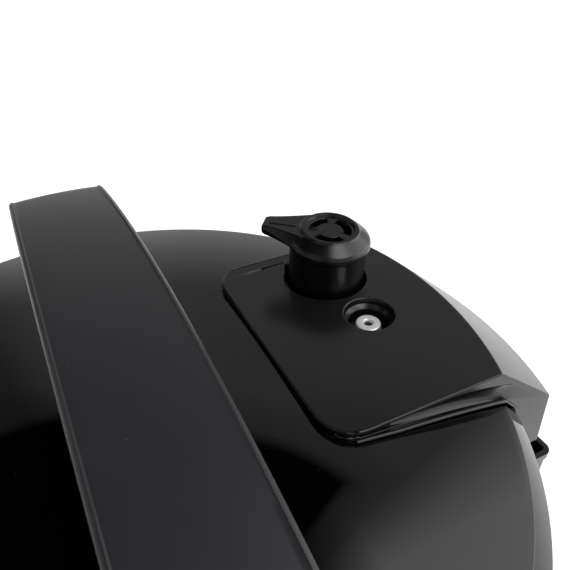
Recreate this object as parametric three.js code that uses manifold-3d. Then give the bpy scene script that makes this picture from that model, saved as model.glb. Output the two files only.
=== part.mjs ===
// Electric pressure cooker: base with heater and controls, inner pot, and a bayonet lid with a
// carrying handle, a steam release knob and a float valve. Millimetres, +Z up, controls towards -Y.
// Every solid is drawn about the pot's axis (x = 0, y = 0) with z = 0 on the table, and the finished
// group is moved along Y so that the cooker's own box is centred on its origin.
import * as THREE from "three";
import { mergeVertices } from "three/addons/utils/BufferGeometryUtils.js";
import Module from "manifold-3d";

const wasm = await Module();
wasm.setup();

// ---- Driving dimensions ----
const GAP = 0.3; // between two pieces that touch
const SLIP = 0.8; // between a piece and the hole it moves in
const TURN_CLEARANCE = 1.8; // between round pieces that turn past each other
const ROUND = 32; // sides of the large turned pieces
const ROUND_MEDIUM = 20;
const ROUND_SMALL = 12;

const POT_R = 118; // inside of the inner pot
const POT_WALL = 1.5;
const POT_FLANGE = 13.5; // flange, measured out from the pot's wall
const POT_FLANGE_T = 2;
const POT_BOTTOM_R = 12; // rounding between wall and bottom

const LID_TOP_R = POT_R + 32; // where the dome meets the bevel
const LID_R = LID_TOP_R + 7.7; // lid wall below the bevel
const LID_BEVEL_H = 8.5;
const LID_EDGE_Z = 268; // height of the dome's edge above the table
const LID_RIM_Z = LID_EDGE_Z - 30; // lower edge of the lid's wall
const LID_WALL = 3;
const DOME_RISE = 20.2;
const DOME_STEPS = 4;

const BODY_R = POT_R + 31; // steel shell, outside
const SHELL_WALL = 1.5;
const COLLAR_R = BODY_R + 11;
const COLLAR_H = 31; // steel shell's top edge to the collar's top
const COLLAR_TOP_Z = LID_RIM_Z - 2;
const SHELL_TOP_Z = COLLAR_TOP_Z - COLLAR_H;

const HANDLE_W = 45.5;
const HANDLE_TOP_Z = LID_EDGE_Z + 60;
const HANDLE_ARCH_R = 526;
const HANDLE_HALF_SPAN = LID_TOP_R - 32;
const HANDLE_T = 12;
const HANDLE_EDGE = 2.5;

const DECK_HALF_W = 57.5;
const DECK_FRONT_Y = LID_TOP_R - 93.5;
const DECK_FRONT_BOW = 0.8; // how far the front edge falls back at its corners
const DECK_CORNER_R = 15;
const DECK_TOP_Z = LID_EDGE_Z + 19.5;
const DECK_WALL = 2.5;
const DECK_TOP_R = LID_TOP_R - 6.9; // rear edge of the flat top
const SKIRT_SHOULDER_R = LID_R + 19.7;
const SKIRT_SHOULDER_Z = LID_EDGE_Z - 10.1;
const SKIRT_R = LID_R + 22.3;
const SKIRT_Z = LID_EDGE_Z - 41;

const KNOB_AT = [-30.6, LID_TOP_R - 46.2];
const KNOB_R = 18;
const KNOB_HOLE_R = KNOB_R + 1.4;
const KNOB_CAP_R = KNOB_R - 6.7;
const KNOB_TOP_Z = LID_EDGE_Z + 46.5;
const KNOB_CHAMFER = 4.6;
const LEVER_REACH = KNOB_R + 13;
const LEVER_ANGLE = -130; // degrees from +X
const LEVER_TIP_W = 8;
const LEVER_ROOT_W = 17;
const LEVER_T = 9;
const PIPE_R = 7;
const PIPE_BORE_R = 3.5;

const FLOAT_CAP_R = 6;
const FLOAT_RECESS_R = FLOAT_CAP_R + 5;
const FLOAT_AT = [KNOB_AT[0] + KNOB_HOLE_R + FLOAT_RECESS_R + 3.9, KNOB_AT[1] + 2.5];
const FLOAT_STEM_R = 3;
const FLOAT_TOP_Z = LID_EDGE_Z + 14.5;
const FLOAT_TRAVEL = 5;

const LUGS = 6;
const LUG_DEG = 25;
const LUG_REACH = 5;
const LUG_T = 3;

const COLLECTOR_HALF_W = 50;
const COLLECTOR_BACK_Y = BODY_R + 49.6;
const COLLECTOR_RIM_Z = LID_EDGE_Z - 73;
const COLLECTOR_H = 60;
const COLLECTOR_WALL = 2;
const COLLECTOR_CORNER_R = 6;

const BASE_RING_TOP_Z = 45; // lower edge of the steel shell
const PANEL_W = 124;
const PANEL_H = SHELL_TOP_Z - BASE_RING_TOP_Z - 32;
const PANEL_CORNER_R = 18;
const PANEL_MID_Z = (SHELL_TOP_Z + BASE_RING_TOP_Z) / 2;
const PANEL_R = BODY_R + 9; // front face of the panel, from the pot's axis
const DISPLAY_W = 84;
const DISPLAY_H = 34;
const DISPLAY_RISE = 32; // display's middle above the panel's middle
const DISPLAY_T = 1.6;
const DIAL_R = 17;
const DIAL_T = 12;
const DIAL_DROP = 24; // dial's middle below the panel's middle
const SHAFT_R = 3.5;
const BUTTON_W = 26;
const BUTTON_H = 11;
const BUTTON_X = DIAL_R + BUTTON_W / 2 + 10;
const BUTTON_PITCH = BUTTON_H + 7;
const BUTTON_TRAVEL = 1;

const FOOT_H = 5;
const FOOT_R = 12;
const FOOT_AT_R = BODY_R - 33;
const BASE_RING_WALL = 3;
const BASE_TAPER = 4.5;
const PLATE_T = 2.7; // floor plate
const SIDE_HANDLE_REACH = 24;
const SIDE_HANDLE_DEG = 42;
const SIDE_HANDLE_DROP = 22;
const SIDE_HANDLE_WALL = 4.5;

const HEATER_R = POT_R - 14;
const HEATER_T = 12;
const HEATER_TOP_Z = 80;
const ELEMENT_R = HEATER_R - 34;
const ELEMENT_TUBE_R = 4;
const ELEMENT_DROP = 2; // plate's underside to the tube
const SENSOR_R = 17;
const SENSOR_SHAFT_R = 4;

const INLET_W = 30;
const INLET_H = 22;
const INLET_DEPTH = 24;
const INLET_WALL = 3;

// ---- Sizes that follow from the ones above ----
const DOME_R = (LID_TOP_R ** 2 + DOME_RISE ** 2) / (2 * DOME_RISE);
const POT_FLANGE_R = POT_R + POT_WALL + POT_FLANGE;
const RING_TOP_Z = COLLAR_TOP_Z;
const RING_R_IN = POT_R + POT_WALL + 6.5;
const RING_R = POT_FLANGE_R + 6.5;
const RING_LUG_R = RING_R + LUG_REACH;
const LID_LUG_R_IN = RING_R + TURN_CLEARANCE;
const LUG_SKIRT_R_IN = RING_LUG_R + TURN_CLEARANCE;
const LUG_SKIRT_R = LUG_SKIRT_R_IN + 1.5;
const LUG_SKIRT_Z = RING_TOP_Z - 10;
const POT_RIM_Z = RING_TOP_Z + GAP + POT_FLANGE_T;
const SEAL_Z = POT_RIM_Z + GAP;
const SEAL_TOP_Z = SEAL_Z + 11.4;
const SEAL_R_IN = POT_R + 6;
const SEAL_R = POT_FLANGE_R + 5;
const INNER_LID_T = 1.5;
const INNER_LID_Z = SEAL_TOP_Z + GAP; // underside of its flat rim
const INNER_LID_RISE = 6.5; // underside at the valves, above the rim's underside
const PIPE_NUT_R = 9.3;
const SHIELD_WALL = 1.2;
const SHIELD_R = PIPE_NUT_R + GAP + SHIELD_WALL;

const rad = THREE.MathUtils.degToRad;
const domeZ = (r) => LID_EDGE_Z + DOME_RISE - DOME_R + Math.sqrt(DOME_R ** 2 - r ** 2);
const radiusOf = ([x, y]) => Math.hypot(x, y);

// ---- Solids ----
// A closed geometry as a manifold solid. Triangles that collapse when vertices merge are dropped.
function solidOf(geometry) {
  const bare = geometry.index ? geometry.toNonIndexed() : geometry.clone();
  bare.deleteAttribute("normal");
  bare.deleteAttribute("uv");
  const merged = mergeVertices(bare, 1e-4);
  const old = merged.index.array;
  const triangles = [];
  for (let i = 0; i < old.length; i += 3) {
    const [a, b, c] = [old[i], old[i + 1], old[i + 2]];
    if (a !== b && b !== c && a !== c) triangles.push(a, b, c);
  }
  const vertProperties = merged.attributes.position.array;
  const triVerts = new Uint32Array(triangles);
  return new wasm.Manifold(new wasm.Mesh({ numProp: 3, vertProperties, triVerts }));
}

function geometryOf(solid) {
  const mesh = solid.getMesh();
  const geometry = new THREE.BufferGeometry();
  geometry.setAttribute("position", new THREE.BufferAttribute(mesh.vertProperties, 3));
  geometry.setIndex(new THREE.BufferAttribute(mesh.triVerts, 1));
  geometry.computeVertexNormals();
  return geometry;
}

const join = (first, ...rest) => rest.reduce((a, b) => a.add(b), first);
const cut = (first, ...rest) => rest.reduce((a, b) => a.subtract(b), first);
const common = (first, ...rest) => rest.reduce((a, b) => a.intersect(b), first);

// A solid turned about the Z axis from [radius, z] corners. Its outline closes on itself or on the axis.
function turned(corners, sides = ROUND, [x, y] = [0, 0]) {
  const area = corners.reduce((sum, [r, z], i) => {
    const [r2, z2] = corners[(i + 1) % corners.length];
    return sum + r * z2 - r2 * z;
  }, 0);
  const ordered = area > 0 ? corners : [...corners].reverse();
  const onAxis = ordered.findIndex(
    ([r], i) => r === 0 && ordered[(i + ordered.length - 1) % ordered.length][0] === 0,
  );
  const start = Math.max(onAxis, 0);
  const loop = [...ordered.slice(start), ...ordered.slice(0, start)];
  if (onAxis < 0) loop.push(loop[0]);
  const points = loop.map(([r, z]) => new THREE.Vector2(r, z));
  const geometry = new THREE.LatheGeometry(points, sides);
  geometry.rotateX(Math.PI / 2).scale(1, -1, 1);
  geometry.index.array.forEach((value, i, array) => {
    if (i % 3 === 0) [array[i + 1], array[i + 2]] = [array[i + 2], array[i + 1]];
  });
  geometry.translate(x, y, 0);
  const made = solidOf(geometry);
  if (made.volume() > 0) return made;
  throw new Error("a turned outline faces inwards");
}

// A plain cylinder, or a tube when it has a bore.
function rod(radius, z0, z1, at = [0, 0], bore = 0, sides = ROUND_SMALL) {
  return turned([[bore, z0], [radius, z0], [radius, z1], [bore, z1]], sides, at);
}

// A hexagon nut with a round hole.
function hexNut(radius, bore, z0, z1, at) {
  return cut(rod(radius, z0, z1, at, 0, 6), rod(bore, z0 - 1, z1 + 1, at));
}

// A flat outline drawn in X and Y, made thick along Z.
function extrudedZ(shape, z0, z1, curveSegments = 2) {
  const geometry = new THREE.ExtrudeGeometry(shape, {
    depth: z1 - z0,
    bevelEnabled: false,
    curveSegments,
  });
  geometry.translate(0, 0, z0);
  return solidOf(geometry);
}

// A flat outline drawn in X and Z, made thick along Y.
function extrudedY(shape, y0, y1, curveSegments = 2, bevel = 0) {
  const geometry = new THREE.ExtrudeGeometry(shape, {
    depth: y1 - y0 - 2 * bevel,
    bevelEnabled: bevel > 0,
    bevelSize: bevel,
    bevelThickness: bevel,
    bevelOffset: -bevel,
    bevelSegments: 2,
    curveSegments,
  });
  geometry.rotateX(Math.PI / 2).translate(0, y1 - bevel, 0);
  return solidOf(geometry);
}

function box(x0, x1, y0, y1, z0, z1) {
  const geometry = new THREE.BoxGeometry(x1 - x0, y1 - y0, z1 - z0);
  geometry.translate((x0 + x1) / 2, (y0 + y1) / 2, (z0 + z1) / 2);
  return solidOf(geometry);
}

function roundedRectangle(width, height, radius, cx = 0, cy = 0) {
  const [x0, x1, y0, y1] = [cx - width / 2, cx + width / 2, cy - height / 2, cy + height / 2];
  const shape = new THREE.Shape();
  shape.absarc(x1 - radius, y0 + radius, radius, -Math.PI / 2, 0);
  shape.absarc(x1 - radius, y1 - radius, radius, 0, Math.PI / 2);
  shape.absarc(x0 + radius, y1 - radius, radius, Math.PI / 2, Math.PI);
  shape.absarc(x0 + radius, y0 + radius, radius, Math.PI, 1.5 * Math.PI);
  shape.closePath();
  return shape;
}

// Part of a ring about the pot's axis, between two angles in degrees.
function ringSector(r0, r1, deg0, deg1, z0, z1, curveSegments = 1) {
  const shape = new THREE.Shape();
  shape.absarc(0, 0, r1, rad(deg0), rad(deg1), false);
  shape.absarc(0, 0, r0, rad(deg1), rad(deg0), true);
  shape.closePath();
  return extrudedZ(shape, z0, z1, curveSegments);
}

// A plate curved about the pot's axis, facing -Y, with a rounded outline.
function curvedPlate(r0, r1, width, height, corner, x, z, facets = 3) {
  const degAt = (edge) => THREE.MathUtils.radToDeg(Math.asin(edge / r0)) - 90;
  const [deg0, deg1] = [degAt(x - width / 2 - 1), degAt(x + width / 2 + 1)];
  const blank = ringSector(r0, r1, deg0, deg1, z - height, z + height, facets);
  const outline = roundedRectangle(width, height, corner, x, z);
  return common(blank, extrudedY(outline, -r1 - 10, -r0 / 2, 1));
}

// ---- Materials: one for each mesh, made from these finishes ----
const FINISHES = {
  glossBlack: { color: 0x0b0b0c, roughness: 0.08, metalness: 0 },
  satinBlack: { color: 0x1a1a1c, roughness: 0.42, metalness: 0 },
  mattBlack: { color: 0x1d1d1f, roughness: 0.6, metalness: 0 },
  steel: { color: 0xb9bbbd, roughness: 0.28, metalness: 1 },
  aluminium: { color: 0xa9abad, roughness: 0.45, metalness: 1 },
  silicone: { color: 0xd9d8d2, roughness: 0.55, metalness: 0 },
  rubber: { color: 0x242425, roughness: 0.85, metalness: 0 },
  circuit: { color: 0x1f5c3a, roughness: 0.6, metalness: 0 },
  lens: { color: 0x08090b, roughness: 0.05, metalness: 0 },
  brass: { color: 0xb08d4a, roughness: 0.35, metalness: 1 },
};

const cooker = new THREE.Group();

function add(parent, name, solid, finish) {
  const mesh = new THREE.Mesh(geometryOf(solid), new THREE.MeshStandardMaterial(FINISHES[finish]));
  mesh.name = name;
  parent.add(mesh);
}

// ---- Base: casing ----
const FLOOR_Z = FOOT_H + GAP;
const LEDGE_Z = FLOOR_Z + PLATE_T + GAP;
const LEDGE_T = 3;
const PLATE_R = BODY_R - BASE_TAPER - BASE_RING_WALL;
const SCREW_AT_R = PLATE_R - 7;
const SCREW_R = 1.8;
const SCREW_HEAD_R = 4;
const FOOT_PEG_R = 4;
const onCircle = (r, deg) => [r * Math.cos(rad(deg)), r * Math.sin(rad(deg))];
const CORNERS = [45, 135, 225, 315];

function makeFloor(base) {
  const footHoles = CORNERS.map((deg) =>
    rod(FOOT_PEG_R + GAP, 0, LEDGE_Z, onCircle(FOOT_AT_R, deg)));
  const screwHoles = CORNERS.map((deg) =>
    rod(SCREW_R + GAP, 0, LEDGE_Z, onCircle(SCREW_AT_R, deg + 20), 0, 8));
  const slots = [-48, -32, -16, 0, 16, 32, 48].map((y) =>
    box(-23, 23, y - 2.5, y + 2.5, 0, LEDGE_Z));
  const disc = rod(PLATE_R, FLOOR_Z, FLOOR_Z + PLATE_T, [0, 0], 0, ROUND);
  add(base, "bottom_plate", cut(disc, ...footHoles, ...screwHoles, ...slots), "mattBlack");

  CORNERS.forEach((deg, i) => {
    const foot = turned([
      [0, 0], [FOOT_R - 1, 0], [FOOT_R, FOOT_H], [FOOT_PEG_R, FOOT_H],
      [FOOT_PEG_R, LEDGE_Z + 2], [0, LEDGE_Z + 2],
    ], ROUND_SMALL, onCircle(FOOT_AT_R, deg));
    add(base, `foot_${i + 1}`, foot, "rubber");
    const screw = turned([
      [0, FOOT_H - 1.8], [SCREW_HEAD_R, FOOT_H - 1.8], [SCREW_HEAD_R, FOOT_H], [SCREW_R, FOOT_H],
      [SCREW_R, LEDGE_Z + LEDGE_T], [0, LEDGE_Z + LEDGE_T],
    ], 8, onCircle(SCREW_AT_R, deg + 20));
    add(base, `base_screw_${i + 1}`, screw, "steel");
  });
}

// The inlet sits in the rear of the base ring and opens backwards.
const INLET_MID_Z = 27;
const INLET_BACK_Y = BODY_R + 2.5;
const inletBlock = (grow, y0, y1) => extrudedY(
  roundedRectangle(INLET_W + 2 * grow, INLET_H + 2 * grow, 3, 0, INLET_MID_Z), y0, y1, 2);

function makeBaseRing(base) {
  const taper = (z) => BODY_R + 1.5 - BASE_TAPER * (1 - (z - FOOT_H) / (BASE_RING_TOP_Z - FOOT_H));
  const ledgeTop = LEDGE_Z + LEDGE_T;
  const ring = turned([
    [taper(FOOT_H), FOOT_H], [taper(BASE_RING_TOP_Z), BASE_RING_TOP_Z],
    [taper(BASE_RING_TOP_Z) - BASE_RING_WALL, BASE_RING_TOP_Z],
    [taper(ledgeTop) - BASE_RING_WALL, ledgeTop],
    [SCREW_AT_R - 6, ledgeTop], [SCREW_AT_R - 6, LEDGE_Z],
    [PLATE_R + GAP, LEDGE_Z], [PLATE_R + GAP, FOOT_H],
  ]);
  const screwHoles = CORNERS.map((deg) =>
    rod(SCREW_R + GAP, LEDGE_Z - 1, ledgeTop + 1, onCircle(SCREW_AT_R, deg + 20), 0, 8));
  const inletHole = inletBlock(GAP, BODY_R - INLET_DEPTH - 5, INLET_BACK_Y + 5);
  add(base, "base_ring", cut(ring, ...screwHoles, inletHole), "satinBlack");
}

function makeInlet(base) {
  const front = INLET_BACK_Y - INLET_DEPTH;
  const body = inletBlock(0, front, INLET_BACK_Y);
  const socket = inletBlock(-INLET_WALL, front + INLET_WALL, INLET_BACK_Y + 1);
  const pins = [[-7, 2.5], [7, 2.5], [0, -3.5]];
  const pinBox = ([x, dz], grow, y1) => box(
    x - 1 - grow, x + 1 + grow, front - 6, y1,
    INLET_MID_Z + dz - 2 - grow, INLET_MID_Z + dz + 2 + grow);
  const slots = pins.map((pin) => pinBox(pin, GAP, front + INLET_WALL + 1));
  add(base, "power_inlet", cut(body, socket, ...slots), "mattBlack");
  pins.forEach((pin, i) => {
    add(base, `inlet_pin_${i + 1}`, pinBox(pin, 0, INLET_BACK_Y - 5), "brass");
  });
}

const SHELL_Z = BASE_RING_TOP_Z + GAP;
const PANEL_OPENING_W = PANEL_W - 14;
const PANEL_OPENING_H = PANEL_H - 16;

function makeShell(base) {
  const tube = turned([
    [BODY_R - SHELL_WALL, SHELL_Z], [BODY_R, SHELL_Z],
    [BODY_R, SHELL_TOP_Z - GAP], [BODY_R - SHELL_WALL, SHELL_TOP_Z - GAP],
  ]);
  const opening = roundedRectangle(PANEL_OPENING_W, PANEL_OPENING_H, PANEL_CORNER_R - 6, 0, PANEL_MID_Z);
  add(base, "outer_shell", cut(tube, extrudedY(opening, -BODY_R - 5, -BODY_R / 2)), "steel");
}

const CHANNEL_Z = COLLAR_TOP_Z - 20;
const SPOUT_HALF_W = 14;
const SPOUT_Y = BODY_R + 19;
const SPOUT_Z = COLLECTOR_RIM_Z + 3;

function makeCollar(base) {
  const channelR = LUG_SKIRT_R + 2.5;
  const ring = turned([
    [BODY_R + 1, SHELL_TOP_Z], [COLLAR_R, SHELL_TOP_Z + 7],
    [COLLAR_R, COLLAR_TOP_Z - 1.5], [COLLAR_R - 1.5, COLLAR_TOP_Z],
    [channelR, COLLAR_TOP_Z], [channelR, CHANNEL_Z],
    [RING_R_IN, CHANNEL_Z], [RING_R_IN, CHANNEL_Z - 3],
    [channelR - 3, CHANNEL_Z - 3], [channelR - 3, SHELL_TOP_Z],
  ]);
  const spout = box(-SPOUT_HALF_W, SPOUT_HALF_W, BODY_R + GAP, SPOUT_Y, SPOUT_Z, SHELL_TOP_Z + 9);
  const drain = box(-5, 5, channelR - 1, SPOUT_Y - 4, CHANNEL_Z - 4, CHANNEL_Z + 3);
  const drop = box(-5, 5, SPOUT_Y - 10, SPOUT_Y - 4, SPOUT_Z - 1, SHELL_TOP_Z + 7);
  add(base, "upper_collar", cut(join(ring, spout), drain, drop), "satinBlack");
}

// Ring handles left and right, open underneath for the fingers.
function makeSideHandles(base) {
  const r0 = COLLAR_R + GAP;
  const r1 = r0 + SIDE_HANDLE_REACH;
  const z0 = COLLAR_TOP_Z - SIDE_HANDLE_DROP;
  [["right", 0], ["left", 180]].forEach(([side, deg]) => {
    const half = SIDE_HANDLE_DEG / 2;
    const block = ringSector(r0, r1, deg - half, deg + half, z0, COLLAR_TOP_Z, 5);
    const hollow = ringSector(
      r0 + SIDE_HANDLE_WALL, r1 - SIDE_HANDLE_WALL, deg - half + 3, deg + half - 3,
      z0 - 1, COLLAR_TOP_Z - SIDE_HANDLE_WALL, 3);
    add(base, `side_handle_${side}`, cut(block, hollow), "satinBlack");
  });
}

// ---- Base: cooking chamber ----
function makeLockingRing(base) {
  const t = LUG_T;
  const ring = turned([
    [RING_R_IN, RING_TOP_Z - t], [RING_R - 2.5, RING_TOP_Z - t], [RING_R - 2.5, CHANNEL_Z + GAP],
    [RING_R, CHANNEL_Z + GAP], [RING_R, RING_TOP_Z], [RING_R_IN, RING_TOP_Z],
  ]);
  const lugs = Array.from({ length: LUGS }, (_, i) => {
    const mid = (i * 360) / LUGS;
    const [a, b] = [mid - LUG_DEG / 2, mid + LUG_DEG / 2];
    return ringSector(RING_R - 2, RING_LUG_R, a, b, RING_TOP_Z - t, RING_TOP_Z);
  });
  add(base, "locking_ring", join(ring, ...lugs), "steel");
}

const CHAMBER_R = POT_R + POT_WALL + 3; // inside of the heat shield
const CHAMBER_FLOOR_Z = HEATER_TOP_Z - HEATER_T - GAP;
const CHAMBER_HOLE_R = HEATER_R - 18;

function makeHeatShield(base) {
  const rim = RING_TOP_Z - LUG_T - GAP;
  const shield = turned([
    [CHAMBER_HOLE_R, CHAMBER_FLOOR_Z], [CHAMBER_R, CHAMBER_FLOOR_Z], [CHAMBER_R, rim],
    [RING_R_IN + 5, rim], [RING_R_IN + 5, rim - 1.2], [CHAMBER_R + 1.2, rim - 1.2],
    [CHAMBER_R + 1.2, CHAMBER_FLOOR_Z - 1.2], [CHAMBER_HOLE_R, CHAMBER_FLOOR_Z - 1.2],
  ]);
  add(base, "heat_shield", shield, "aluminium");
}

function makeHeater(base) {
  const z0 = HEATER_TOP_Z - HEATER_T;
  const bore = SENSOR_R + TURN_CLEARANCE;
  const plate = turned([
    [bore, z0], [HEATER_R, z0], [HEATER_R, HEATER_TOP_Z - 3], [HEATER_R - 5, HEATER_TOP_Z],
    [bore, HEATER_TOP_Z],
  ], ROUND_MEDIUM);
  add(base, "heating_plate", plate, "aluminium");

  // Sheathed element under the plate: most of a circle, with both ends turned down.
  const z = z0 - ELEMENT_TUBE_R - ELEMENT_DROP;
  const arc = Array.from({ length: 17 }, (_, i) => {
    const [x, y] = onCircle(ELEMENT_R, 110 + i * 20);
    return new THREE.Vector3(x, y, z);
  });
  const down = (p) => p.clone().add(new THREE.Vector3(0, 0, -14));
  const points = [down(arc[0]), ...arc, down(arc[arc.length - 1])];
  const section = new THREE.Shape();
  section.absarc(0, 0, ELEMENT_TUBE_R, 0, 2 * Math.PI);
  const tube = new THREE.ExtrudeGeometry(section, {
    steps: 26,
    curveSegments: 3,
    extrudePath: new THREE.CatmullRomCurve3(points),
  });
  add(base, "heating_element", solidOf(tube), "steel");
}

const BRACKET_Z = CHAMBER_FLOOR_Z - 14;
const BRACKET_T = 2.5;
const BRACKET_HALF_L = CHAMBER_HOLE_R + 12;

function makeSensor(base) {
  const span = box(-BRACKET_HALF_L, BRACKET_HALF_L, -12, 12, BRACKET_Z, BRACKET_Z + BRACKET_T);
  const posts = [-1, 1].map((side) => {
    const x = side * (BRACKET_HALF_L - BRACKET_T / 2);
    return box(x - BRACKET_T / 2, x + BRACKET_T / 2, -12, 12, BRACKET_Z, CHAMBER_FLOOR_Z - 1.2 - GAP);
  });
  const hole = rod(SENSOR_SHAFT_R + SLIP, BRACKET_Z - 1, BRACKET_Z + BRACKET_T + 1);
  add(base, "sensor_bracket", cut(join(span, ...posts), hole), "steel");

  const capZ = HEATER_TOP_Z - 8;
  const sensor = turned([
    [0, BRACKET_Z - 12], [SENSOR_SHAFT_R, BRACKET_Z - 12], [SENSOR_SHAFT_R, capZ],
    [SENSOR_R, capZ], [SENSOR_R, HEATER_TOP_Z - GAP - 1.5], [SENSOR_R - 2, HEATER_TOP_Z - GAP],
    [0, HEATER_TOP_Z - GAP],
  ], 20);
  add(base, "temperature_sensor", sensor, "aluminium");

  const wire = 1.2;
  const coilR = SENSOR_SHAFT_R + 4;
  const z0 = BRACKET_Z + BRACKET_T + GAP + wire;
  const rise = capZ - GAP - wire - z0;
  const turns = 3;
  const helix = Array.from({ length: turns * 8 + 1 }, (_, i) => {
    const [x, y] = onCircle(coilR, i * 45);
    return new THREE.Vector3(x, y, z0 + (rise * i) / (turns * 8));
  });
  const section = new THREE.Shape();
  section.absarc(0, 0, wire, 0, 2 * Math.PI);
  const coil = new THREE.ExtrudeGeometry(section, {
    steps: turns * 8,
    curveSegments: 3,
    extrudePath: new THREE.CatmullRomCurve3(helix),
  });
  add(base, "sensor_spring", solidOf(coil), "steel");
}

// ---- Base: electronics and controls ----
const BOARD_Z = LEDGE_Z + 6;

function makePowerBoard(base) {
  const board = box(-50, 40, -52, 18, BOARD_Z, BOARD_Z + 1.6);
  const parts = [
    box(-44, -18, -44, -20, BOARD_Z + 1, BOARD_Z + 24),
    box(-8, 12, -46, -24, BOARD_Z + 1, BOARD_Z + 17),
    rod(8, BOARD_Z + 1, BOARD_Z + 25, [28, -34], 0, 10),
    box(-44, 30, 4, 8, BOARD_Z + 1, BOARD_Z + 20),
  ];
  const posts = [[-46, -48], [36, -48], [-46, 14], [36, 14]].map((at) =>
    rod(3, FLOOR_Z + PLATE_T + GAP, BOARD_Z + 0.5, at, 0, 8));
  add(base, "power_board", join(board, ...parts, ...posts), "circuit");
}

const BUTTON_BACK_R = PANEL_R - 6;
const BUTTON_PLACES = [1, 0, -1].flatMap((row) =>
  [-1, 1].map((side) => [side * BUTTON_X, PANEL_MID_Z - DIAL_DROP + row * BUTTON_PITCH]));
const DISPLAY_Z = PANEL_MID_Z + DISPLAY_RISE;
const DIAL_Z = PANEL_MID_Z - DIAL_DROP;

function makeControlPanel(base) {
  const backR = BODY_R + SLIP;
  const plate = curvedPlate(backR, PANEL_R, PANEL_W, PANEL_H, PANEL_CORNER_R, 0, PANEL_MID_Z);
  const recess = curvedPlate(
    PANEL_R - DISPLAY_T - GAP, PANEL_R + 4, DISPLAY_W + 2 * GAP, DISPLAY_H + 2 * GAP, 4, 0, DISPLAY_Z);
  const holes = BUTTON_PLACES.map(([x, z]) => extrudedY(
    roundedRectangle(BUTTON_W + 2 * SLIP, BUTTON_H + 2 * SLIP, 3 + SLIP, x, z),
    -PANEL_R - 2, -backR / 2, 1));
  const shaftHole = extrudedY(
    roundedRectangle(2 * SHAFT_R + 2 * SLIP, 2 * SHAFT_R + 2 * SLIP, SHAFT_R + SLIP - 0.01, 0, DIAL_Z),
    -PANEL_R - 2, -backR / 2);
  add(base, "control_panel", cut(plate, recess, shaftHole, ...holes), "glossBlack");

  const lens = curvedPlate(PANEL_R - DISPLAY_T, PANEL_R + 0.3, DISPLAY_W, DISPLAY_H, 4, 0, DISPLAY_Z);
  add(base, "display_lens", lens, "lens");

  BUTTON_PLACES.forEach(([x, z], i) => {
    const button = curvedPlate(BUTTON_BACK_R, PANEL_R + 0.6, BUTTON_W, BUTTON_H, 3, x, z);
    add(base, `button_${i + 1}`, button, "satinBlack");
  });
}

const BOARD_FRONT_Y = -BODY_R + 9.4;

function makeControlBoard(base) {
  const board = box(-45, 45, BOARD_FRONT_Y, BOARD_FRONT_Y + 1.6, PANEL_MID_Z - 50, PANEL_MID_Z + 50);
  const switches = BUTTON_PLACES.map(([x, z]) => {
    const top = -Math.sqrt(BUTTON_BACK_R ** 2 - (Math.abs(x) + 3) ** 2) + BUTTON_TRAVEL + GAP;
    return box(x - 3, x + 3, top, BOARD_FRONT_Y + 0.5, z - 3, z + 3);
  });
  const display = box(-30, 30, BOARD_FRONT_Y - 5, BOARD_FRONT_Y + 0.5, DISPLAY_Z - 14, DISPLAY_Z + 14);
  add(base, "control_board", join(board, ...switches, display), "circuit");
}

function alongY(solid, z) {
  return solid.rotate([90, 0, 0]).translate([0, 0, z]);
}

function makeDial(base) {
  const face = PANEL_R + SLIP;
  const dial = turned([
    [0, -BOARD_FRONT_Y + GAP], [SHAFT_R, -BOARD_FRONT_Y + GAP], [SHAFT_R, face], [DIAL_R, face],
    [DIAL_R - 0.6, face + DIAL_T - 1.5], [DIAL_R - 2, face + DIAL_T], [0, face + DIAL_T],
  ], ROUND_MEDIUM);
  add(base, "control_dial", alongY(dial, DIAL_Z), "satinBlack");
}

// ---- Condensation collector at the rear ----
function collectorOutline(inset) {
  const x = COLLECTOR_HALF_W - inset;
  const y = COLLECTOR_BACK_Y - inset;
  const r = COLLECTOR_CORNER_R - inset;
  const shape = new THREE.Shape();
  shape.moveTo(-x, BODY_R * 0.8);
  shape.lineTo(x, BODY_R * 0.8);
  shape.absarc(x - r, y - r, r, 0, Math.PI / 2);
  shape.absarc(-x + r, y - r, r, Math.PI / 2, Math.PI);
  shape.closePath();
  return shape;
}

const RAIL_T = 2.5;
const COLLECTOR_FRONT_R = BODY_R + GAP + RAIL_T + SLIP;

function makeCollector(base) {
  const half = THREE.MathUtils.radToDeg(Math.asin((COLLECTOR_HALF_W - 18) / BODY_R));
  const z1 = COLLECTOR_RIM_Z - 6;
  const z0 = COLLECTOR_RIM_Z - COLLECTOR_H + 14;
  const rail = ringSector(BODY_R + GAP, BODY_R + GAP + RAIL_T, 90 - half, 90 + half, z0, z1, 2);
  add(base, "collector_rail", rail, "mattBlack");

  const bottom = COLLECTOR_RIM_Z - COLLECTOR_H;
  const outside = cut(
    extrudedZ(collectorOutline(0), bottom, COLLECTOR_RIM_Z),
    rod(COLLECTOR_FRONT_R, bottom - 1, COLLECTOR_RIM_Z + 1, [0, 0], 0, 48));
  const inside = cut(
    extrudedZ(collectorOutline(COLLECTOR_WALL), bottom + COLLECTOR_WALL, COLLECTOR_RIM_Z + 1),
    rod(COLLECTOR_FRONT_R + COLLECTOR_WALL, bottom, COLLECTOR_RIM_Z + 2, [0, 0], 0, 48));
  add(base, "condensation_collector", cut(outside, inside), "glossBlack");
}

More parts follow.
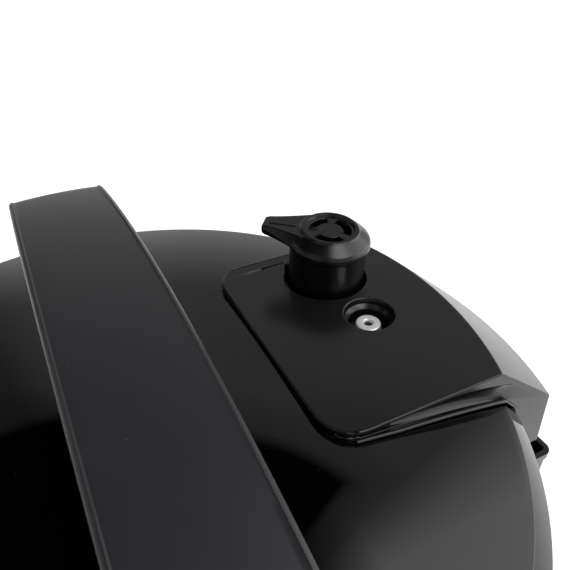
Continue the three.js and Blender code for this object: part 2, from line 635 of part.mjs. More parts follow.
// ---- Inner pot ----
function makePot(parent) {
  const z0 = HEATER_TOP_Z + GAP;
  const flangeZ = POT_RIM_Z - POT_FLANGE_T;
  const outer = POT_R + POT_WALL;
  const bottomArc = [0, 90].map((deg) => {
    const [c, s] = onCircle(POT_BOTTOM_R, deg);
    return [outer - POT_BOTTOM_R + s, z0 + POT_BOTTOM_R - c];
  });
  const insideArc = bottomArc.map(([r, z]) => [r - POT_WALL, z + POT_WALL]).reverse();
  const pot = turned([
    [0, z0], ...bottomArc, [outer, flangeZ], [POT_FLANGE_R, flangeZ], [POT_FLANGE_R, POT_RIM_Z],
    [POT_R, POT_RIM_Z], ...insideArc, [0, z0 + POT_WALL],
  ]);
  add(parent, "inner_pot", pot, "steel");
}

// ---- Lid: cover and handle ----
function domeArc(drop, rMax) {
  return Array.from({ length: DOME_STEPS + 1 }, (_, i) => {
    const r = (rMax * i) / DOME_STEPS;
    return [r, domeZ(r) - drop];
  });
}

const HANDLE_SCREW_X = HANDLE_HALF_SPAN + 7;
const HANDLE_SCREW_R = 2.4;
const GUIDE_R = FLOAT_CAP_R + 1;

function makeLidCover(lid) {
  const insideR = LID_TOP_R - 1.5;
  const cover = turned([
    ...domeArc(0, LID_TOP_R), [LID_R, LID_EDGE_Z - LID_BEVEL_H], [LID_R, LID_RIM_Z],
    [LID_R - LID_WALL, LID_RIM_Z], [LID_R - LID_WALL, LID_EDGE_Z - LID_BEVEL_H - 1],
    ...domeArc(LID_WALL, insideR).reverse(),
  ]);
  const bores = [
    rod(PIPE_R + SLIP, LID_EDGE_Z - 20, DECK_TOP_Z + 20, KNOB_AT),
    rod(GUIDE_R + SLIP, LID_EDGE_Z - 20, DECK_TOP_Z + 20, FLOAT_AT),
    ...[-1, 1].map((side) =>
      rod(HANDLE_SCREW_R + GAP, LID_EDGE_Z - 20, DECK_TOP_Z, [side * HANDLE_SCREW_X, 0], 0, 10)),
  ];
  add(lid, "lid_cover", cut(cover, ...bores), "glossBlack");
}

// Everything under the lid's outer surface, with the gap that pieces resting on it keep.
function underLid() {
  return turned([
    ...domeArc(-GAP, LID_TOP_R), [LID_R + GAP, LID_EDGE_Z - LID_BEVEL_H + GAP],
    [LID_R + GAP, LID_RIM_Z - 40], [0, LID_RIM_Z - 40],
  ]);
}

const archZ = (x) => HANDLE_TOP_Z - x ** 2 / (2 * HANDLE_ARCH_R);

// Side outline of the bar: an arched top, and legs that stand on the lid near its edge.
function handleOutline() {
  const x1 = HANDLE_HALF_SPAN;
  const legOut = x1 + 15;
  const legIn = x1 - 2;
  const foot = LID_EDGE_Z - 5;
  const xs = [-1, -0.75, -0.5, -0.25, 0, 0.25, 0.5, 0.75, 1].map((k) => k * x1);
  const under = xs.map((x) => [x * ((legIn - 10) / x1), archZ(x) - HANDLE_T]).reverse();
  const shape = new THREE.Shape();
  shape.moveTo(-legOut, foot);
  shape.quadraticCurveTo(-legOut + 1, archZ(x1) - 4, -x1, archZ(x1));
  xs.slice(1).forEach((x) => shape.lineTo(x, archZ(x)));
  shape.quadraticCurveTo(legOut - 1, archZ(x1) - 4, legOut, foot);
  shape.lineTo(legIn, foot);
  shape.lineTo(legIn, archZ(x1) - HANDLE_T - 6);
  under.forEach(([x, z]) => shape.lineTo(x, z));
  shape.lineTo(-legIn, archZ(x1) - HANDLE_T - 6);
  shape.lineTo(-legIn, foot);
  shape.closePath();
  return shape;
}

function makeHandle(lid) {
  const bar = extrudedY(handleOutline(), -HANDLE_W / 2, HANDLE_W / 2, 2, HANDLE_EDGE);
  const bores = [-1, 1].map((side) =>
    rod(HANDLE_SCREW_R + GAP, LID_EDGE_Z - 20, LID_EDGE_Z + 22, [side * HANDLE_SCREW_X, 0], 0, 10));
  add(lid, "lid_handle", cut(bar, underLid(), ...bores), "satinBlack");

  // Cover strip on the underside of the bar.
  const t = 1.6;
  const x1 = HANDLE_HALF_SPAN - 26;
  const xs = [-1, -0.5, 0, 0.5, 1].map((k) => k * x1);
  const scale = HANDLE_HALF_SPAN / (HANDLE_HALF_SPAN - 12);
  const underZ = (x) => archZ(x * scale) - HANDLE_T - GAP - 0.8;
  const strip = new THREE.Shape();
  strip.moveTo(-x1, underZ(x1));
  xs.slice(1).forEach((x) => strip.lineTo(x, underZ(x)));
  [...xs].reverse().forEach((x) => strip.lineTo(x, underZ(x) - t));
  strip.closePath();
  add(lid, "handle_underside", extrudedY(strip, -HANDLE_W / 2 + 6, HANDLE_W / 2 - 6), "mattBlack");

  [["right", 1], ["left", -1]].forEach(([side, sign]) => {
    const underside = domeZ(HANDLE_SCREW_X + 6) - LID_WALL - GAP;
    const screw = turned([
      [0, underside - 4], [5, underside - 4], [5, underside], [HANDLE_SCREW_R, underside],
      [HANDLE_SCREW_R, LID_EDGE_Z + 20], [0, LID_EDGE_Z + 20],
    ], 10, [sign * HANDLE_SCREW_X, 0]);
    add(lid, `handle_screw_${side}`, screw, "steel");
  });
}

// ---- Lid: valve deck ----
function deckOutline(inset) {
  const x = DECK_HALF_W - inset;
  const y = DECK_FRONT_Y + DECK_FRONT_BOW + inset;
  const r = DECK_CORNER_R - inset;
  const shape = new THREE.Shape();
  shape.absarc(-x + r, y + r, r, Math.PI, 1.5 * Math.PI);
  shape.quadraticCurveTo(0, y - 2 * DECK_FRONT_BOW, x - r, y);
  shape.absarc(x - r, y + r, r, 1.5 * Math.PI, 2 * Math.PI);
  shape.lineTo(x, SKIRT_R + 20);
  shape.lineTo(-x, SKIRT_R + 20);
  shape.closePath();
  return shape;
}

function deckBody(inset) {
  const top = DECK_TOP_Z - inset;
  const turnedBody = turned([
    [0, SKIRT_Z - inset], [0, top], [DECK_TOP_R - 0.4 * inset, top],
    [SKIRT_SHOULDER_R - inset, SKIRT_SHOULDER_Z - 0.4 * inset], [SKIRT_R - inset, SKIRT_Z - inset],
  ], 40);
  return common(turnedBody, extrudedZ(deckOutline(inset), SKIRT_Z - inset, DECK_TOP_Z, 3));
}

function makeValveDeck(lid) {
  const wellWall = 2;
  const wells = [[KNOB_AT, KNOB_HOLE_R], [FLOAT_AT, FLOAT_RECESS_R]];
  const walls = wells.map(([at, r]) =>
    rod(r + wellWall, LID_EDGE_Z, DECK_TOP_Z - DECK_WALL / 2, at, 0, ROUND_MEDIUM));
  const holes = wells.map(([at, r]) => rod(r, LID_EDGE_Z, DECK_TOP_Z + 5, at, 0, ROUND_MEDIUM));
  const collarSpace = rod(COLLAR_R + 2.5, SKIRT_Z - 10, LID_RIM_Z + 1, [0, 0], 0, 40);
  const shell = join(cut(deckBody(0), deckBody(DECK_WALL)), ...walls);
  add(lid, "valve_deck", cut(shell, ...holes, underLid(), collarSpace), "satinBlack");
}

// ---- Lid: steam release and float ----
const INNER_LID_TOP_AT_VALVES = INNER_LID_Z + INNER_LID_RISE + INNER_LID_T;

function makeSteamRelease(lid) {
  const seat = INNER_LID_TOP_AT_VALVES + 1;
  const pipeTop = DECK_TOP_Z + 12;
  const underside = INNER_LID_Z + INNER_LID_RISE - 1;
  const pipe = turned([
    [PIPE_BORE_R, underside - 4.5], [PIPE_R - 1.5, underside - 4.5], [PIPE_R - 1.5, seat],
    [PIPE_NUT_R, seat], [PIPE_NUT_R, seat + 2], [PIPE_R, seat + 2], [PIPE_R, pipeTop],
    [PIPE_BORE_R, pipeTop],
  ], ROUND_SMALL, KNOB_AT);
  add(lid, "steam_pipe", pipe, "steel");
  const nut = hexNut(PIPE_NUT_R, PIPE_R - 1.5 + GAP, underside - 4, underside, KNOB_AT);
  add(lid, "pipe_nut", nut, "steel");

  const shieldZ = underside - 12;
  const shieldTop = underside - 1;
  const shieldIn = SHIELD_R - SHIELD_WALL;
  const shield = turned([
    [0, shieldZ], [SHIELD_R, shieldZ], [SHIELD_R, shieldTop], [shieldIn, shieldTop],
    [shieldIn, shieldZ + SHIELD_WALL], [0, shieldZ + SHIELD_WALL],
  ], ROUND_SMALL, KNOB_AT);
  const slots = [0, 60, 120].map((deg) =>
    box(-20, 20, -2, 2, shieldZ + 2.5, underside - 4.5).rotate([0, 0, deg]).translate([...KNOB_AT, 0]));
  add(lid, "anti_block_shield", cut(shield, ...slots), "steel");

  const pin = turned([
    [0, pipeTop - 9], [PIPE_BORE_R - SLIP, pipeTop - 9], [PIPE_BORE_R - SLIP, pipeTop + GAP],
    [PIPE_R - 1, pipeTop + GAP], [PIPE_R - 1, pipeTop + 5], [0, pipeTop + 5],
  ], ROUND_SMALL, KNOB_AT);
  add(lid, "release_pin", pin, "steel");

  const bodyZ = domeZ(radiusOf(KNOB_AT) - KNOB_R) + 1.2;
  const boreR = PIPE_R + SLIP;
  const capZ = KNOB_TOP_Z - KNOB_CHAMFER;
  const body = turned([
    [boreR, bodyZ], [KNOB_R - 0.4, bodyZ], [KNOB_R - 1, capZ - 5], [KNOB_R, capZ - 4.4],
    [KNOB_R, capZ], [KNOB_CAP_R, KNOB_TOP_Z], [0, KNOB_TOP_Z], [0, pipeTop + 8], [boreR, pipeTop + 8],
  ], ROUND_MEDIUM, KNOB_AT);
  const lever = new THREE.Shape();
  lever.moveTo(boreR + 2, -LEVER_ROOT_W / 2);
  lever.lineTo(LEVER_REACH, -LEVER_TIP_W / 2);
  lever.lineTo(LEVER_REACH, LEVER_TIP_W / 2);
  lever.lineTo(boreR + 2, LEVER_ROOT_W / 2);
  lever.closePath();
  const arm = extrudedZ(lever, KNOB_TOP_Z - 2 - LEVER_T, KNOB_TOP_Z - 2)
    .rotate([0, 0, LEVER_ANGLE])
    .translate([...KNOB_AT, 0]);
  add(lid, "release_knob", join(body, arm), "satinBlack");
}

function makeFloat(lid) {
  const guideTop = FLOAT_TOP_Z - 4;
  const bore = FLOAT_STEM_R + 0.5;
  const guide = turned([
    [bore, INNER_LID_TOP_AT_VALVES + 1], [GUIDE_R + 2, INNER_LID_TOP_AT_VALVES + 1],
    [GUIDE_R + 2, INNER_LID_TOP_AT_VALVES + 4], [GUIDE_R, INNER_LID_TOP_AT_VALVES + 4],
    [GUIDE_R, guideTop - GAP], [bore, guideTop - GAP],
  ], ROUND_SMALL, FLOAT_AT);
  add(lid, "float_guide", guide, "mattBlack");

  const stop = INNER_LID_Z + INNER_LID_RISE - 1 - FLOAT_TRAVEL - GAP;
  const pin = turned([
    [0, stop], [FLOAT_STEM_R, stop], [FLOAT_STEM_R, guideTop], [FLOAT_CAP_R, guideTop],
    [FLOAT_CAP_R, FLOAT_TOP_Z - 1], [FLOAT_CAP_R - 1, FLOAT_TOP_Z], [1.8, FLOAT_TOP_Z],
    [1.8, FLOAT_TOP_Z - 2], [0, FLOAT_TOP_Z - 2],
  ], ROUND_SMALL, FLOAT_AT);
  add(lid, "float_pin", pin, "steel");
  const gasket = turned([
    [0, stop - GAP - 4], [5.5, stop - GAP - 4], [7, stop - GAP], [0, stop - GAP],
  ], ROUND_SMALL, FLOAT_AT);
  add(lid, "float_gasket", gasket, "silicone");
}

// ---- Lid: pressure plate, lugs and seal ----
function makeInnerLid(lid) {
  const z = INNER_LID_Z;
  const valveZ = z + INNER_LID_RISE;
  const flatR = radiusOf(KNOB_AT) + SHIELD_R + 0.5;
  const rimR = LID_R - LID_WALL - 0.5;
  const t = INNER_LID_T;
  const plate = turned([
    [0, valveZ + 4], [flatR, valveZ - 0.8], [SEAL_R_IN - 1.5, z], [rimR, z],
    [rimR, z + t], [SEAL_R_IN - 0.5, z + t], [flatR + 1, valveZ - 0.8 + t], [0, valveZ + 4 + t],
  ]);
  const holes = [
    rod(PIPE_R - 1.5 + GAP, z - 5, z + 20, KNOB_AT),
    rod(FLOAT_STEM_R + SLIP, z - 5, z + 20, FLOAT_AT),
    rod(4 + GAP, z - 5, z + 20, [0, 0], 0, 10),
  ];
  add(lid, "inner_lid", cut(plate, ...holes), "steel");

  // Centre fixing that holds the plate up to the cover.
  const nutZ = valveZ + 4 - GAP - 3;
  const stud = turned([
    [0, nutZ - 4], [4, nutZ - 4], [4, domeZ(0) - LID_WALL - GAP], [0, domeZ(0) - LID_WALL - GAP],
  ], 10);
  add(lid, "centre_stud", stud, "steel");
  add(lid, "centre_nut", hexNut(9, 4 + GAP, nutZ, nutZ + 3 - GAP, [0, 0]), "steel");
}

function makeLugRing(lid) {
  const top = INNER_LID_Z - GAP;
  const ring = turned([
    [LUG_SKIRT_R_IN, LUG_SKIRT_Z], [LUG_SKIRT_R, LUG_SKIRT_Z], [LUG_SKIRT_R, top - 1.5],
    [LUG_SKIRT_R + 4, top - 1.5], [LUG_SKIRT_R + 4, top], [LUG_SKIRT_R_IN, top],
  ]);
  // The lid's lugs hang in the gaps between the ring's lugs until the lid is turned.
  const lugs = Array.from({ length: LUGS }, (_, i) => {
    const mid = ((i + 0.5) * 360) / LUGS;
    const [a, b] = [mid - LUG_DEG / 2, mid + LUG_DEG / 2];
    return ringSector(LID_LUG_R_IN, LUG_SKIRT_R_IN + 0.7, a, b, LUG_SKIRT_Z, LUG_SKIRT_Z + 2.5);
  });
  add(lid, "lid_lug_ring", join(ring, ...lugs), "steel");
}

function makeSeal(seal) {
  const ring = turned([
    [SEAL_R_IN + 1, SEAL_Z + 0.5], [SEAL_R - 2.5, SEAL_Z], [SEAL_R, SEAL_Z + 3],
    [SEAL_R, SEAL_TOP_Z], [SEAL_R_IN, SEAL_TOP_Z], [SEAL_R_IN, SEAL_Z + 4],
  ]);
  add(seal, "sealing_ring", ring, "silicone");
  const wire = 1.3;
  const r = SEAL_R_IN - GAP - wire;
  const z = SEAL_Z + 6;
  const rack = turned([[r - wire, z], [r, z - wire], [r + wire, z], [r, z + wire]]);
  add(seal, "seal_rack", rack, "steel");
}

// ---- Assembly ----
const base = new THREE.Group();
[
  makeFloor, makeBaseRing, makeInlet, makeShell, makeCollar, makeSideHandles, makeLockingRing,
  makeHeatShield, makeHeater, makeSensor, makePowerBoard, makeControlPanel, makeControlBoard,
  makeDial, makeCollector, makePot,
].forEach((make) => make(base));

const lid = new THREE.Group();
[
  makeLidCover, makeHandle, makeValveDeck, makeSteamRelease, makeFloat, makeInnerLid, makeLugRing,
  makeSeal,
].forEach((make) => make(lid));

cooker.add(base, lid);
const frontY = -(PANEL_R + SLIP + DIAL_T);
cooker.position.y = -(frontY + COLLECTOR_BACK_Y) / 2;

export default cooker;
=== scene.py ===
"""Electric pressure cooker: the finished look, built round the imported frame. Blender 4.5, metres.

Pieces are drawn in millimetres about the pot's own axis, then put in place by settle().
"""
import math

import bmesh
import bpy
from mathutils import Matrix, Vector


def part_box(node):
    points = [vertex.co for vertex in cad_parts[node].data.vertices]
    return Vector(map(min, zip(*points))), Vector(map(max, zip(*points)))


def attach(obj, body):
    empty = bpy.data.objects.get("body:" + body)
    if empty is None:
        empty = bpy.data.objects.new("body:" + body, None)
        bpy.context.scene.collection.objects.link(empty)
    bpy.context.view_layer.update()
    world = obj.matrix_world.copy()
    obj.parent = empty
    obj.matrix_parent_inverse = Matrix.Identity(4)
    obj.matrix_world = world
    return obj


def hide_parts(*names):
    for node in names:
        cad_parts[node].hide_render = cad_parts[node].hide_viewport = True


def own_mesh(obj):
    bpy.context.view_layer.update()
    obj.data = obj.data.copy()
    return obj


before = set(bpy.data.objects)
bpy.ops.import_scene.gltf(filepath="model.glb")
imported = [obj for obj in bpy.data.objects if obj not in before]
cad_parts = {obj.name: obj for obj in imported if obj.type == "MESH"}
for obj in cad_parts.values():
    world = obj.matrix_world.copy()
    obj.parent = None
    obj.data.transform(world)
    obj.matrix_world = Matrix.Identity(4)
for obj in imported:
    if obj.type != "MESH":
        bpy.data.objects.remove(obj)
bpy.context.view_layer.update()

MM = 0.001

# ---- Where things are ----
pot_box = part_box("inner_pot")
AXIS = Vector(((pot_box[0].x + pot_box[1].x) / 2, (pot_box[0].y + pot_box[1].y) / 2, 0))


def span(node):
    """A CAD node's box in millimetres about the pot's axis."""
    lo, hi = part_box(node)
    return (lo - AXIS) / MM, (hi - AXIS) / MM


def middle(node):
    lo, hi = span(node)
    return (lo + hi) / 2


# ---- Sizes in millimetres ----
POT_R = 118
LID_TOP_R = 150
LID_R = 157.7
LID_EDGE = 268
LID_RIM = span("lid_cover")[0].z
LID_BEVEL_DROP = 8.5
DOME_RISE = 20.2
DOME_STEPS = 48
DOME_R = (LID_TOP_R ** 2 + DOME_RISE ** 2) / (2 * DOME_RISE)
BODY_R = 149
COLLAR_R = 160
SHELL_BOTTOM = span("outer_shell")[0].z
SHELL_TOP = span("outer_shell")[1].z
DECK_TOP = LID_EDGE + 19.5
DECK_HALF_W = 57.5
DECK_FRONT = 56.5
DECK_CROWN = 1.3
DECK_WALL = 2.5
DECK_REACH = 200
DECK_TOP_R = 143.1
SKIRT_SHOULDER_R = 177.4
SKIRT_SHOULDER = LID_EDGE - 10.1
SKIRT_R = 180
SKIRT_BOTTOM = LID_EDGE - 41
KNOB_AT = middle("steam_pipe")
FLOAT_AT = middle("float_pin")
KNOB_WELL_R = 19.4
FLOAT_WELL_R = 11
LEVER_DEG = -130
ARCH_R = 526
ARCH_TOP = LID_EDGE + 60
ARCH_HALF = 118
GRIP_W = 45.5
PANEL_R = 158
DIAL_AT = middle("control_dial")
FULL = 2 * math.pi
QUARTER = math.pi / 2
ROUNDING_STEP = math.radians(12)
NEARLY_STRAIGHT = math.radians(89)
WELD = 0.002
SLIVER = 0.0005


def dome_z(r):
    return LID_EDGE + DOME_RISE - DOME_R + math.sqrt(DOME_R ** 2 - r * r)


def arch_z(x):
    return ARCH_TOP - x * x / (2 * ARCH_R)


def feed(tree, socket, value):
    """Sets a socket to a plain number, or links another node's output to it."""
    if isinstance(value, (int, float)):
        socket.default_value = value
    else:
        tree.links.new(value, socket)


def math_node(tree, operation, a, b=0.0):
    node = tree.nodes.new("ShaderNodeMath")
    node.operation = operation
    feed(tree, node.inputs[0], a)
    feed(tree, node.inputs[1], b)
    return node.outputs[0]


def length_node(tree, a, b):
    squares = [math_node(tree, "MULTIPLY", side, side) for side in (a, b)]
    return math_node(tree, "SQRT", math_node(tree, "ADD", *squares))


def new_finish(name):
    made = bpy.data.materials.new(name)
    made.use_nodes = True
    return made, made.node_tree, made.node_tree.nodes["Principled BSDF"]


# ---- Camera and studio ----
def set_camera():
    yaw, pitch, roll = math.radians(63.51), math.radians(35.88), math.radians(0.21)
    place = AXIS + Vector((0.1678, -0.0165, LID_EDGE * MM + 0.1808))
    data = bpy.data.cameras.new("camera")
    data.lens = 37.33
    data.sensor_width = 36
    data.clip_start = 0.01
    data.dof.use_dof = False
    camera = bpy.data.objects.new("camera", data)
    bpy.context.scene.collection.objects.link(camera)
    forward = Vector((-math.sin(yaw) * math.cos(pitch), math.cos(yaw) * math.cos(pitch), -math.sin(pitch)))
    turn = forward.to_track_quat("-Z", "Y").to_matrix() @ Matrix.Rotation(-roll, 3, "Z")
    camera.matrix_world = Matrix.Translation(place) @ turn.to_4x4()
    bpy.context.scene.camera = camera


def lamp(name, power, size, place, aim):
    """A soft square lamp that lights the cooker but shows in no reflection."""
    data = bpy.data.lights.new(name, "AREA")
    data.energy = power
    data.shape = "SQUARE"
    data.size = size
    thing = bpy.data.objects.new(name, data)
    bpy.context.scene.collection.objects.link(thing)
    thing.location = place
    thing.rotation_euler = (Vector(aim) - Vector(place)).to_track_quat("-Z", "Y").to_euler()
    thing.visible_camera = False
    thing.visible_glossy = False


def set_studio():
    scene = bpy.context.scene
    scene.view_settings.view_transform = "Standard"
    world = bpy.data.worlds.new("studio")
    scene.world = world
    world.use_nodes = True
    tree = world.node_tree
    tree.nodes.clear()
    new, link = tree.nodes.new, tree.links.new
    where = new("ShaderNodeTexCoord")
    split = new("ShaderNodeSeparateXYZ")
    link(where.outputs["Generated"], split.inputs[0])

    def calc(operation, a, b):
        return math_node(tree, operation, a, b)

    def ramp(value, stops):
        node = new("ShaderNodeValToRGB")
        node.color_ramp.interpolation = "LINEAR"
        elements = node.color_ramp.elements
        while len(elements) < len(stops):
            elements.new(0.5)
        for element, (at, level) in zip(elements, stops):
            element.position = at
            element.color = (level, level, level, 1)
        link(value, node.inputs[0])
        return node.outputs["Color"]

    # Direction round the upright axis, from -Y through -X, +Y and +X, as 0 to 1.
    around = calc("ARCTAN2", split.outputs["X"], split.outputs["Y"])
    share = calc("DIVIDE", calc("ADD", around, math.pi), FULL)
    # Soft wall under a dark ceiling; the ceiling's edge comes lower round to -X.
    lowered = calc("MULTIPLY", calc("MAXIMUM", calc("SUBTRACT", 0.33, share), 0.0), 1.1)
    height = calc("ADD", split.outputs["Z"], lowered)
    wall_up = ramp(height, [
        (0.0, 0.62), (0.1, 0.56), (0.42, 0.30), (0.72, 0.42), (0.80, 0.30), (0.825, 0.0)])
    wall_round = ramp(share, [
        (0.0, 0.9), (0.10, 1.5), (0.17, 0.35), (0.215, 0.35), (0.24, 1.0), (0.44, 1.0),
        (0.80, 0.9), (0.86, 0.25), (0.93, 1.3), (1.0, 0.9)])
    # Tall card towards +Y and +X, brighter to the right.
    card = ramp(share, [
        (0.419, 0.0), (0.424, 0.20), (0.447, 0.42), (0.461, 0.85), (0.485, 1.75), (0.54, 2.1),
        (0.60, 1.9), (0.66, 0.5), (0.72, 0.0)])
    card_up = ramp(split.outputs["Z"], [(0.0, 1.35), (0.3, 1.35), (0.5, 1.0), (0.86, 1.0), (0.95, 0.0)])
    # Small high card towards +X that only edges and shoulders catch.
    high = ramp(share, [(0.62, 0.0), (0.64, 4.0), (0.76, 4.0), (0.78, 0.0)])
    high_up = ramp(split.outputs["Z"], [(0.52, 0.0), (0.58, 1.0), (0.92, 1.0), (0.96, 0.0)])
    wall = calc("MULTIPLY", wall_up, wall_round)
    level = calc("MAXIMUM", wall, calc("MULTIPLY", card, card_up))
    level = calc("MAXIMUM", level, calc("MULTIPLY", high, high_up))
    reflected = new("ShaderNodeBackground")
    link(level, reflected.inputs["Color"])
    seen = new("ShaderNodeBackground")
    seen.inputs["Color"].default_value = (1, 1, 1, 1)
    seen.inputs["Strength"].default_value = 1.05
    path = new("ShaderNodeLightPath")
    mixed = new("ShaderNodeMixShader")
    link(path.outputs["Is Camera Ray"], mixed.inputs[0])
    link(reflected.outputs[0], mixed.inputs[1])
    link(seen.outputs[0], mixed.inputs[2])
    out = new("ShaderNodeOutputWorld")
    link(mixed.outputs[0], out.inputs["Surface"])

    lamp("overhead", 45, 3.0, (0, 0, 3.0), (0, 0, 0))
    lamp("front_fill", 9, 1.0, (0.6, -1.6, 0.9), (0, 0, 0.15))

    bm = bmesh.new()
    bmesh.ops.create_grid(bm, x_segments=4, y_segments=4, size=2.5)
    mesh = bpy.data.meshes.new("floor")
    bm.to_mesh(mesh)
    bm.free()
    floor = bpy.data.objects.new("floor", mesh)
    scene.collection.objects.link(floor)
    finish, _, shader = new_finish("floor_paper")
    paper = shader.inputs
    paper["Base Color"].default_value = (0.9, 0.9, 0.9, 1)
    paper["Roughness"].default_value = 0.9
    paper["Specular IOR Level"].default_value = 0.1
    paper["Emission Color"].default_value = (1, 1, 1, 1)
    paper["Emission Strength"].default_value = 0.25
    mesh.materials.append(finish)


set_camera()
set_studio()


# ---- Shared surface effects ----
def new_group(name, takes, gives):
    tree = bpy.data.node_groups.new(name, "ShaderNodeTree")
    for label, kind, value in takes:
        socket = tree.interface.new_socket(label, in_out="INPUT", socket_type=kind)
        socket.default_value = value
    for label, kind in gives:
        tree.interface.new_socket(label, in_out="OUTPUT", socket_type=kind)
    return tree, tree.nodes.new("NodeGroupInput"), tree.nodes.new("NodeGroupOutput")


def range_node(tree, value, low, high, new_low, new_high):
    node = tree.nodes.new("ShaderNodeMapRange")
    for label, given in (("Value", value), ("From Min", low), ("From Max", high),
                         ("To Min", new_low), ("To Max", new_high)):
        feed(tree, node.inputs[label], given)
    return node.outputs["Result"]


def noise_node(tree, vector, scale, detail=3.0, rough=0.55):
    node = tree.nodes.new("ShaderNodeTexNoise")
    tree.links.new(vector, node.inputs["Vector"])
    feed(tree, node.inputs["Scale"], scale)
    node.inputs["Detail"].default_value = detail
    node.inputs["Roughness"].default_value = rough
    return node.outputs["Fac"]


def moulded_grain():
    """Fine spark-eroded grain of a moulding, with faint broad waviness under it."""
    tree, inp, out = new_group(
        "moulded_grain",
        [("Scale", "NodeSocketFloat", 2600.0), ("Waviness", "NodeSocketFloat", 0.2)],
        [("Height", "NodeSocketFloat"), ("Mottle", "NodeSocketFloat")])
    place = tree.nodes.new("ShaderNodeTexCoord").outputs["Object"]
    fine = noise_node(tree, place, inp.outputs["Scale"], 2.0)
    broad = noise_node(tree, place, 45.0, 2.0)
    raised = math_node(tree, "MULTIPLY", broad, inp.outputs["Waviness"])
    tree.links.new(math_node(tree, "ADD", fine, raised), out.inputs["Height"])
    tree.links.new(noise_node(tree, place, 18.0, 4.0, 0.6), out.inputs["Mottle"])
    return tree


def settled_dust():
    """Sparse pale specks and soft wiped patches on a polished or satin surface."""
    tree, inp, out = new_group(
        "settled_dust",
        [("Scale", "NodeSocketFloat", 260.0), ("Amount", "NodeSocketFloat", 0.5)],
        [("Specks", "NodeSocketFloat"), ("Smears", "NodeSocketFloat")])
    place = tree.nodes.new("ShaderNodeTexCoord").outputs["Object"]
    cells = tree.nodes.new("ShaderNodeTexVoronoi")
    tree.links.new(place, cells.inputs["Vector"])
    tree.links.new(inp.outputs["Scale"], cells.inputs["Scale"])
    dot = range_node(tree, cells.outputs["Distance"], 0.03, 0.09, 1.0, 0.0)
    split = tree.nodes.new("ShaderNodeSeparateXYZ")
    tree.links.new(cells.outputs["Color"], split.inputs[0])
    kept = math_node(tree, "GREATER_THAN", split.outputs[0], 0.82)
    some = math_node(tree, "MULTIPLY", math_node(tree, "MULTIPLY", dot, kept), inp.outputs["Amount"])
    tree.links.new(some, out.inputs["Specks"])
    smear = range_node(tree, noise_node(tree, place, 9.0, 5.0, 0.65), 0.42, 0.72, 0.0, 1.0)
    tree.links.new(smear, out.inputs["Smears"])
    return tree


def turning_lines():
    """Brushed or turned lines that run round the cooker's axis, or round another upright one."""
    stretch = 0.004
    tree, inp, out = new_group(
        "turning_lines",
        [("Fineness", "NodeSocketFloat", 900.0), ("Centre", "NodeSocketVector", (0, 0, 0))],
        [("Height", "NodeSocketFloat"), ("Shade", "NodeSocketFloat"), ("Patches", "NodeSocketFloat")])
    place = tree.nodes.new("ShaderNodeTexCoord").outputs["Object"]
    away = tree.nodes.new("ShaderNodeVectorMath")
    away.operation = "SUBTRACT"
    tree.links.new(place, away.inputs[0])
    tree.links.new(inp.outputs["Centre"], away.inputs[1])
    split = tree.nodes.new("ShaderNodeSeparateXYZ")
    tree.links.new(away.outputs[0], split.inputs[0])
    x, y, z = split.outputs
    radius = length_node(tree, x, y)
    angle = math_node(tree, "ARCTAN2", y, x)
    join = tree.nodes.new("ShaderNodeCombineXYZ")
    tree.links.new(math_node(tree, "MULTIPLY", angle, stretch), join.inputs[0])
    tree.links.new(radius, join.inputs[1])
    tree.links.new(z, join.inputs[2])
    lines = noise_node(tree, join.outputs[0], inp.outputs["Fineness"], 4.0, 0.7)
    tree.links.new(lines, out.inputs["Height"])
    tree.links.new(range_node(tree, lines, 0.25, 0.75, 0.86, 1.06), out.inputs["Shade"])
    tree.links.new(noise_node(tree, place, 14.0, 4.0, 0.6), out.inputs["Patches"])
    return tree


LINE_DEPTH = 0.00003
GRAIN = moulded_grain()
DUST = settled_dust()
LINES = turning_lines()


def add_group(tree, group, **values):
    node = tree.nodes.new("ShaderNodeGroup")
    node.node_tree = group
    for label, value in values.items():
        node.inputs[label].default_value = value
    return node


def set_principled(shader, color, **values):
    shader.inputs["Base Color"].default_value = (*color, 1)
    for label, value in values.items():
        shader.inputs[label.replace("_", " ")].default_value = value


def bump(tree, height, strength, distance, shader):
    node = tree.nodes.new("ShaderNodeBump")
    node.inputs["Strength"].default_value = strength
    node.inputs["Distance"].default_value = distance
    tree.links.new(height, node.inputs["Height"])
    tree.links.new(node.outputs["Normal"], shader.inputs["Normal"])


def blend_colour(tree, share, first, second):
    node = tree.nodes.new("ShaderNodeMix")
    node.data_type = "RGBA"
    for socket, value in ((node.inputs[6], first), (node.inputs[7], second)):
        if isinstance(value, tuple):
            socket.default_value = (*value, 1)
        else:
            tree.links.new(value, socket)
    tree.links.new(share, node.inputs[0])
    return node.outputs[2]


def plastic(name, color, rough, grain=0.15, depth=0.00004, scale=2600.0, waviness=0.2,
            dust=0.25, coat=0.0, dust_scale=260.0):
    """Moulded plastic: grain and waviness in its bump, mottled colour, dust and wiped patches."""
    made, tree, shader = new_finish(name)
    low, high = rough
    set_principled(shader, color, Roughness=low, Coat_Weight=coat, Coat_Roughness=0.04)
    grain_node = add_group(tree, GRAIN, Scale=scale, Waviness=waviness)
    dust_node = add_group(tree, DUST, Scale=dust_scale, Amount=dust)
    lighter = tuple(min(1.0, c * 1.4 + 0.0006) for c in color)
    mottled = blend_colour(tree, grain_node.outputs["Mottle"], color, lighter)
    dusty = blend_colour(tree, dust_node.outputs["Specks"], mottled, (0.3, 0.3, 0.29))
    tree.links.new(dusty, shader.inputs["Base Color"])
    tree.links.new(
        range_node(tree, dust_node.outputs["Smears"], 0.0, 1.0, low, high), shader.inputs["Roughness"])
    bump(tree, grain_node.outputs["Height"], grain, depth, shader)
    return made


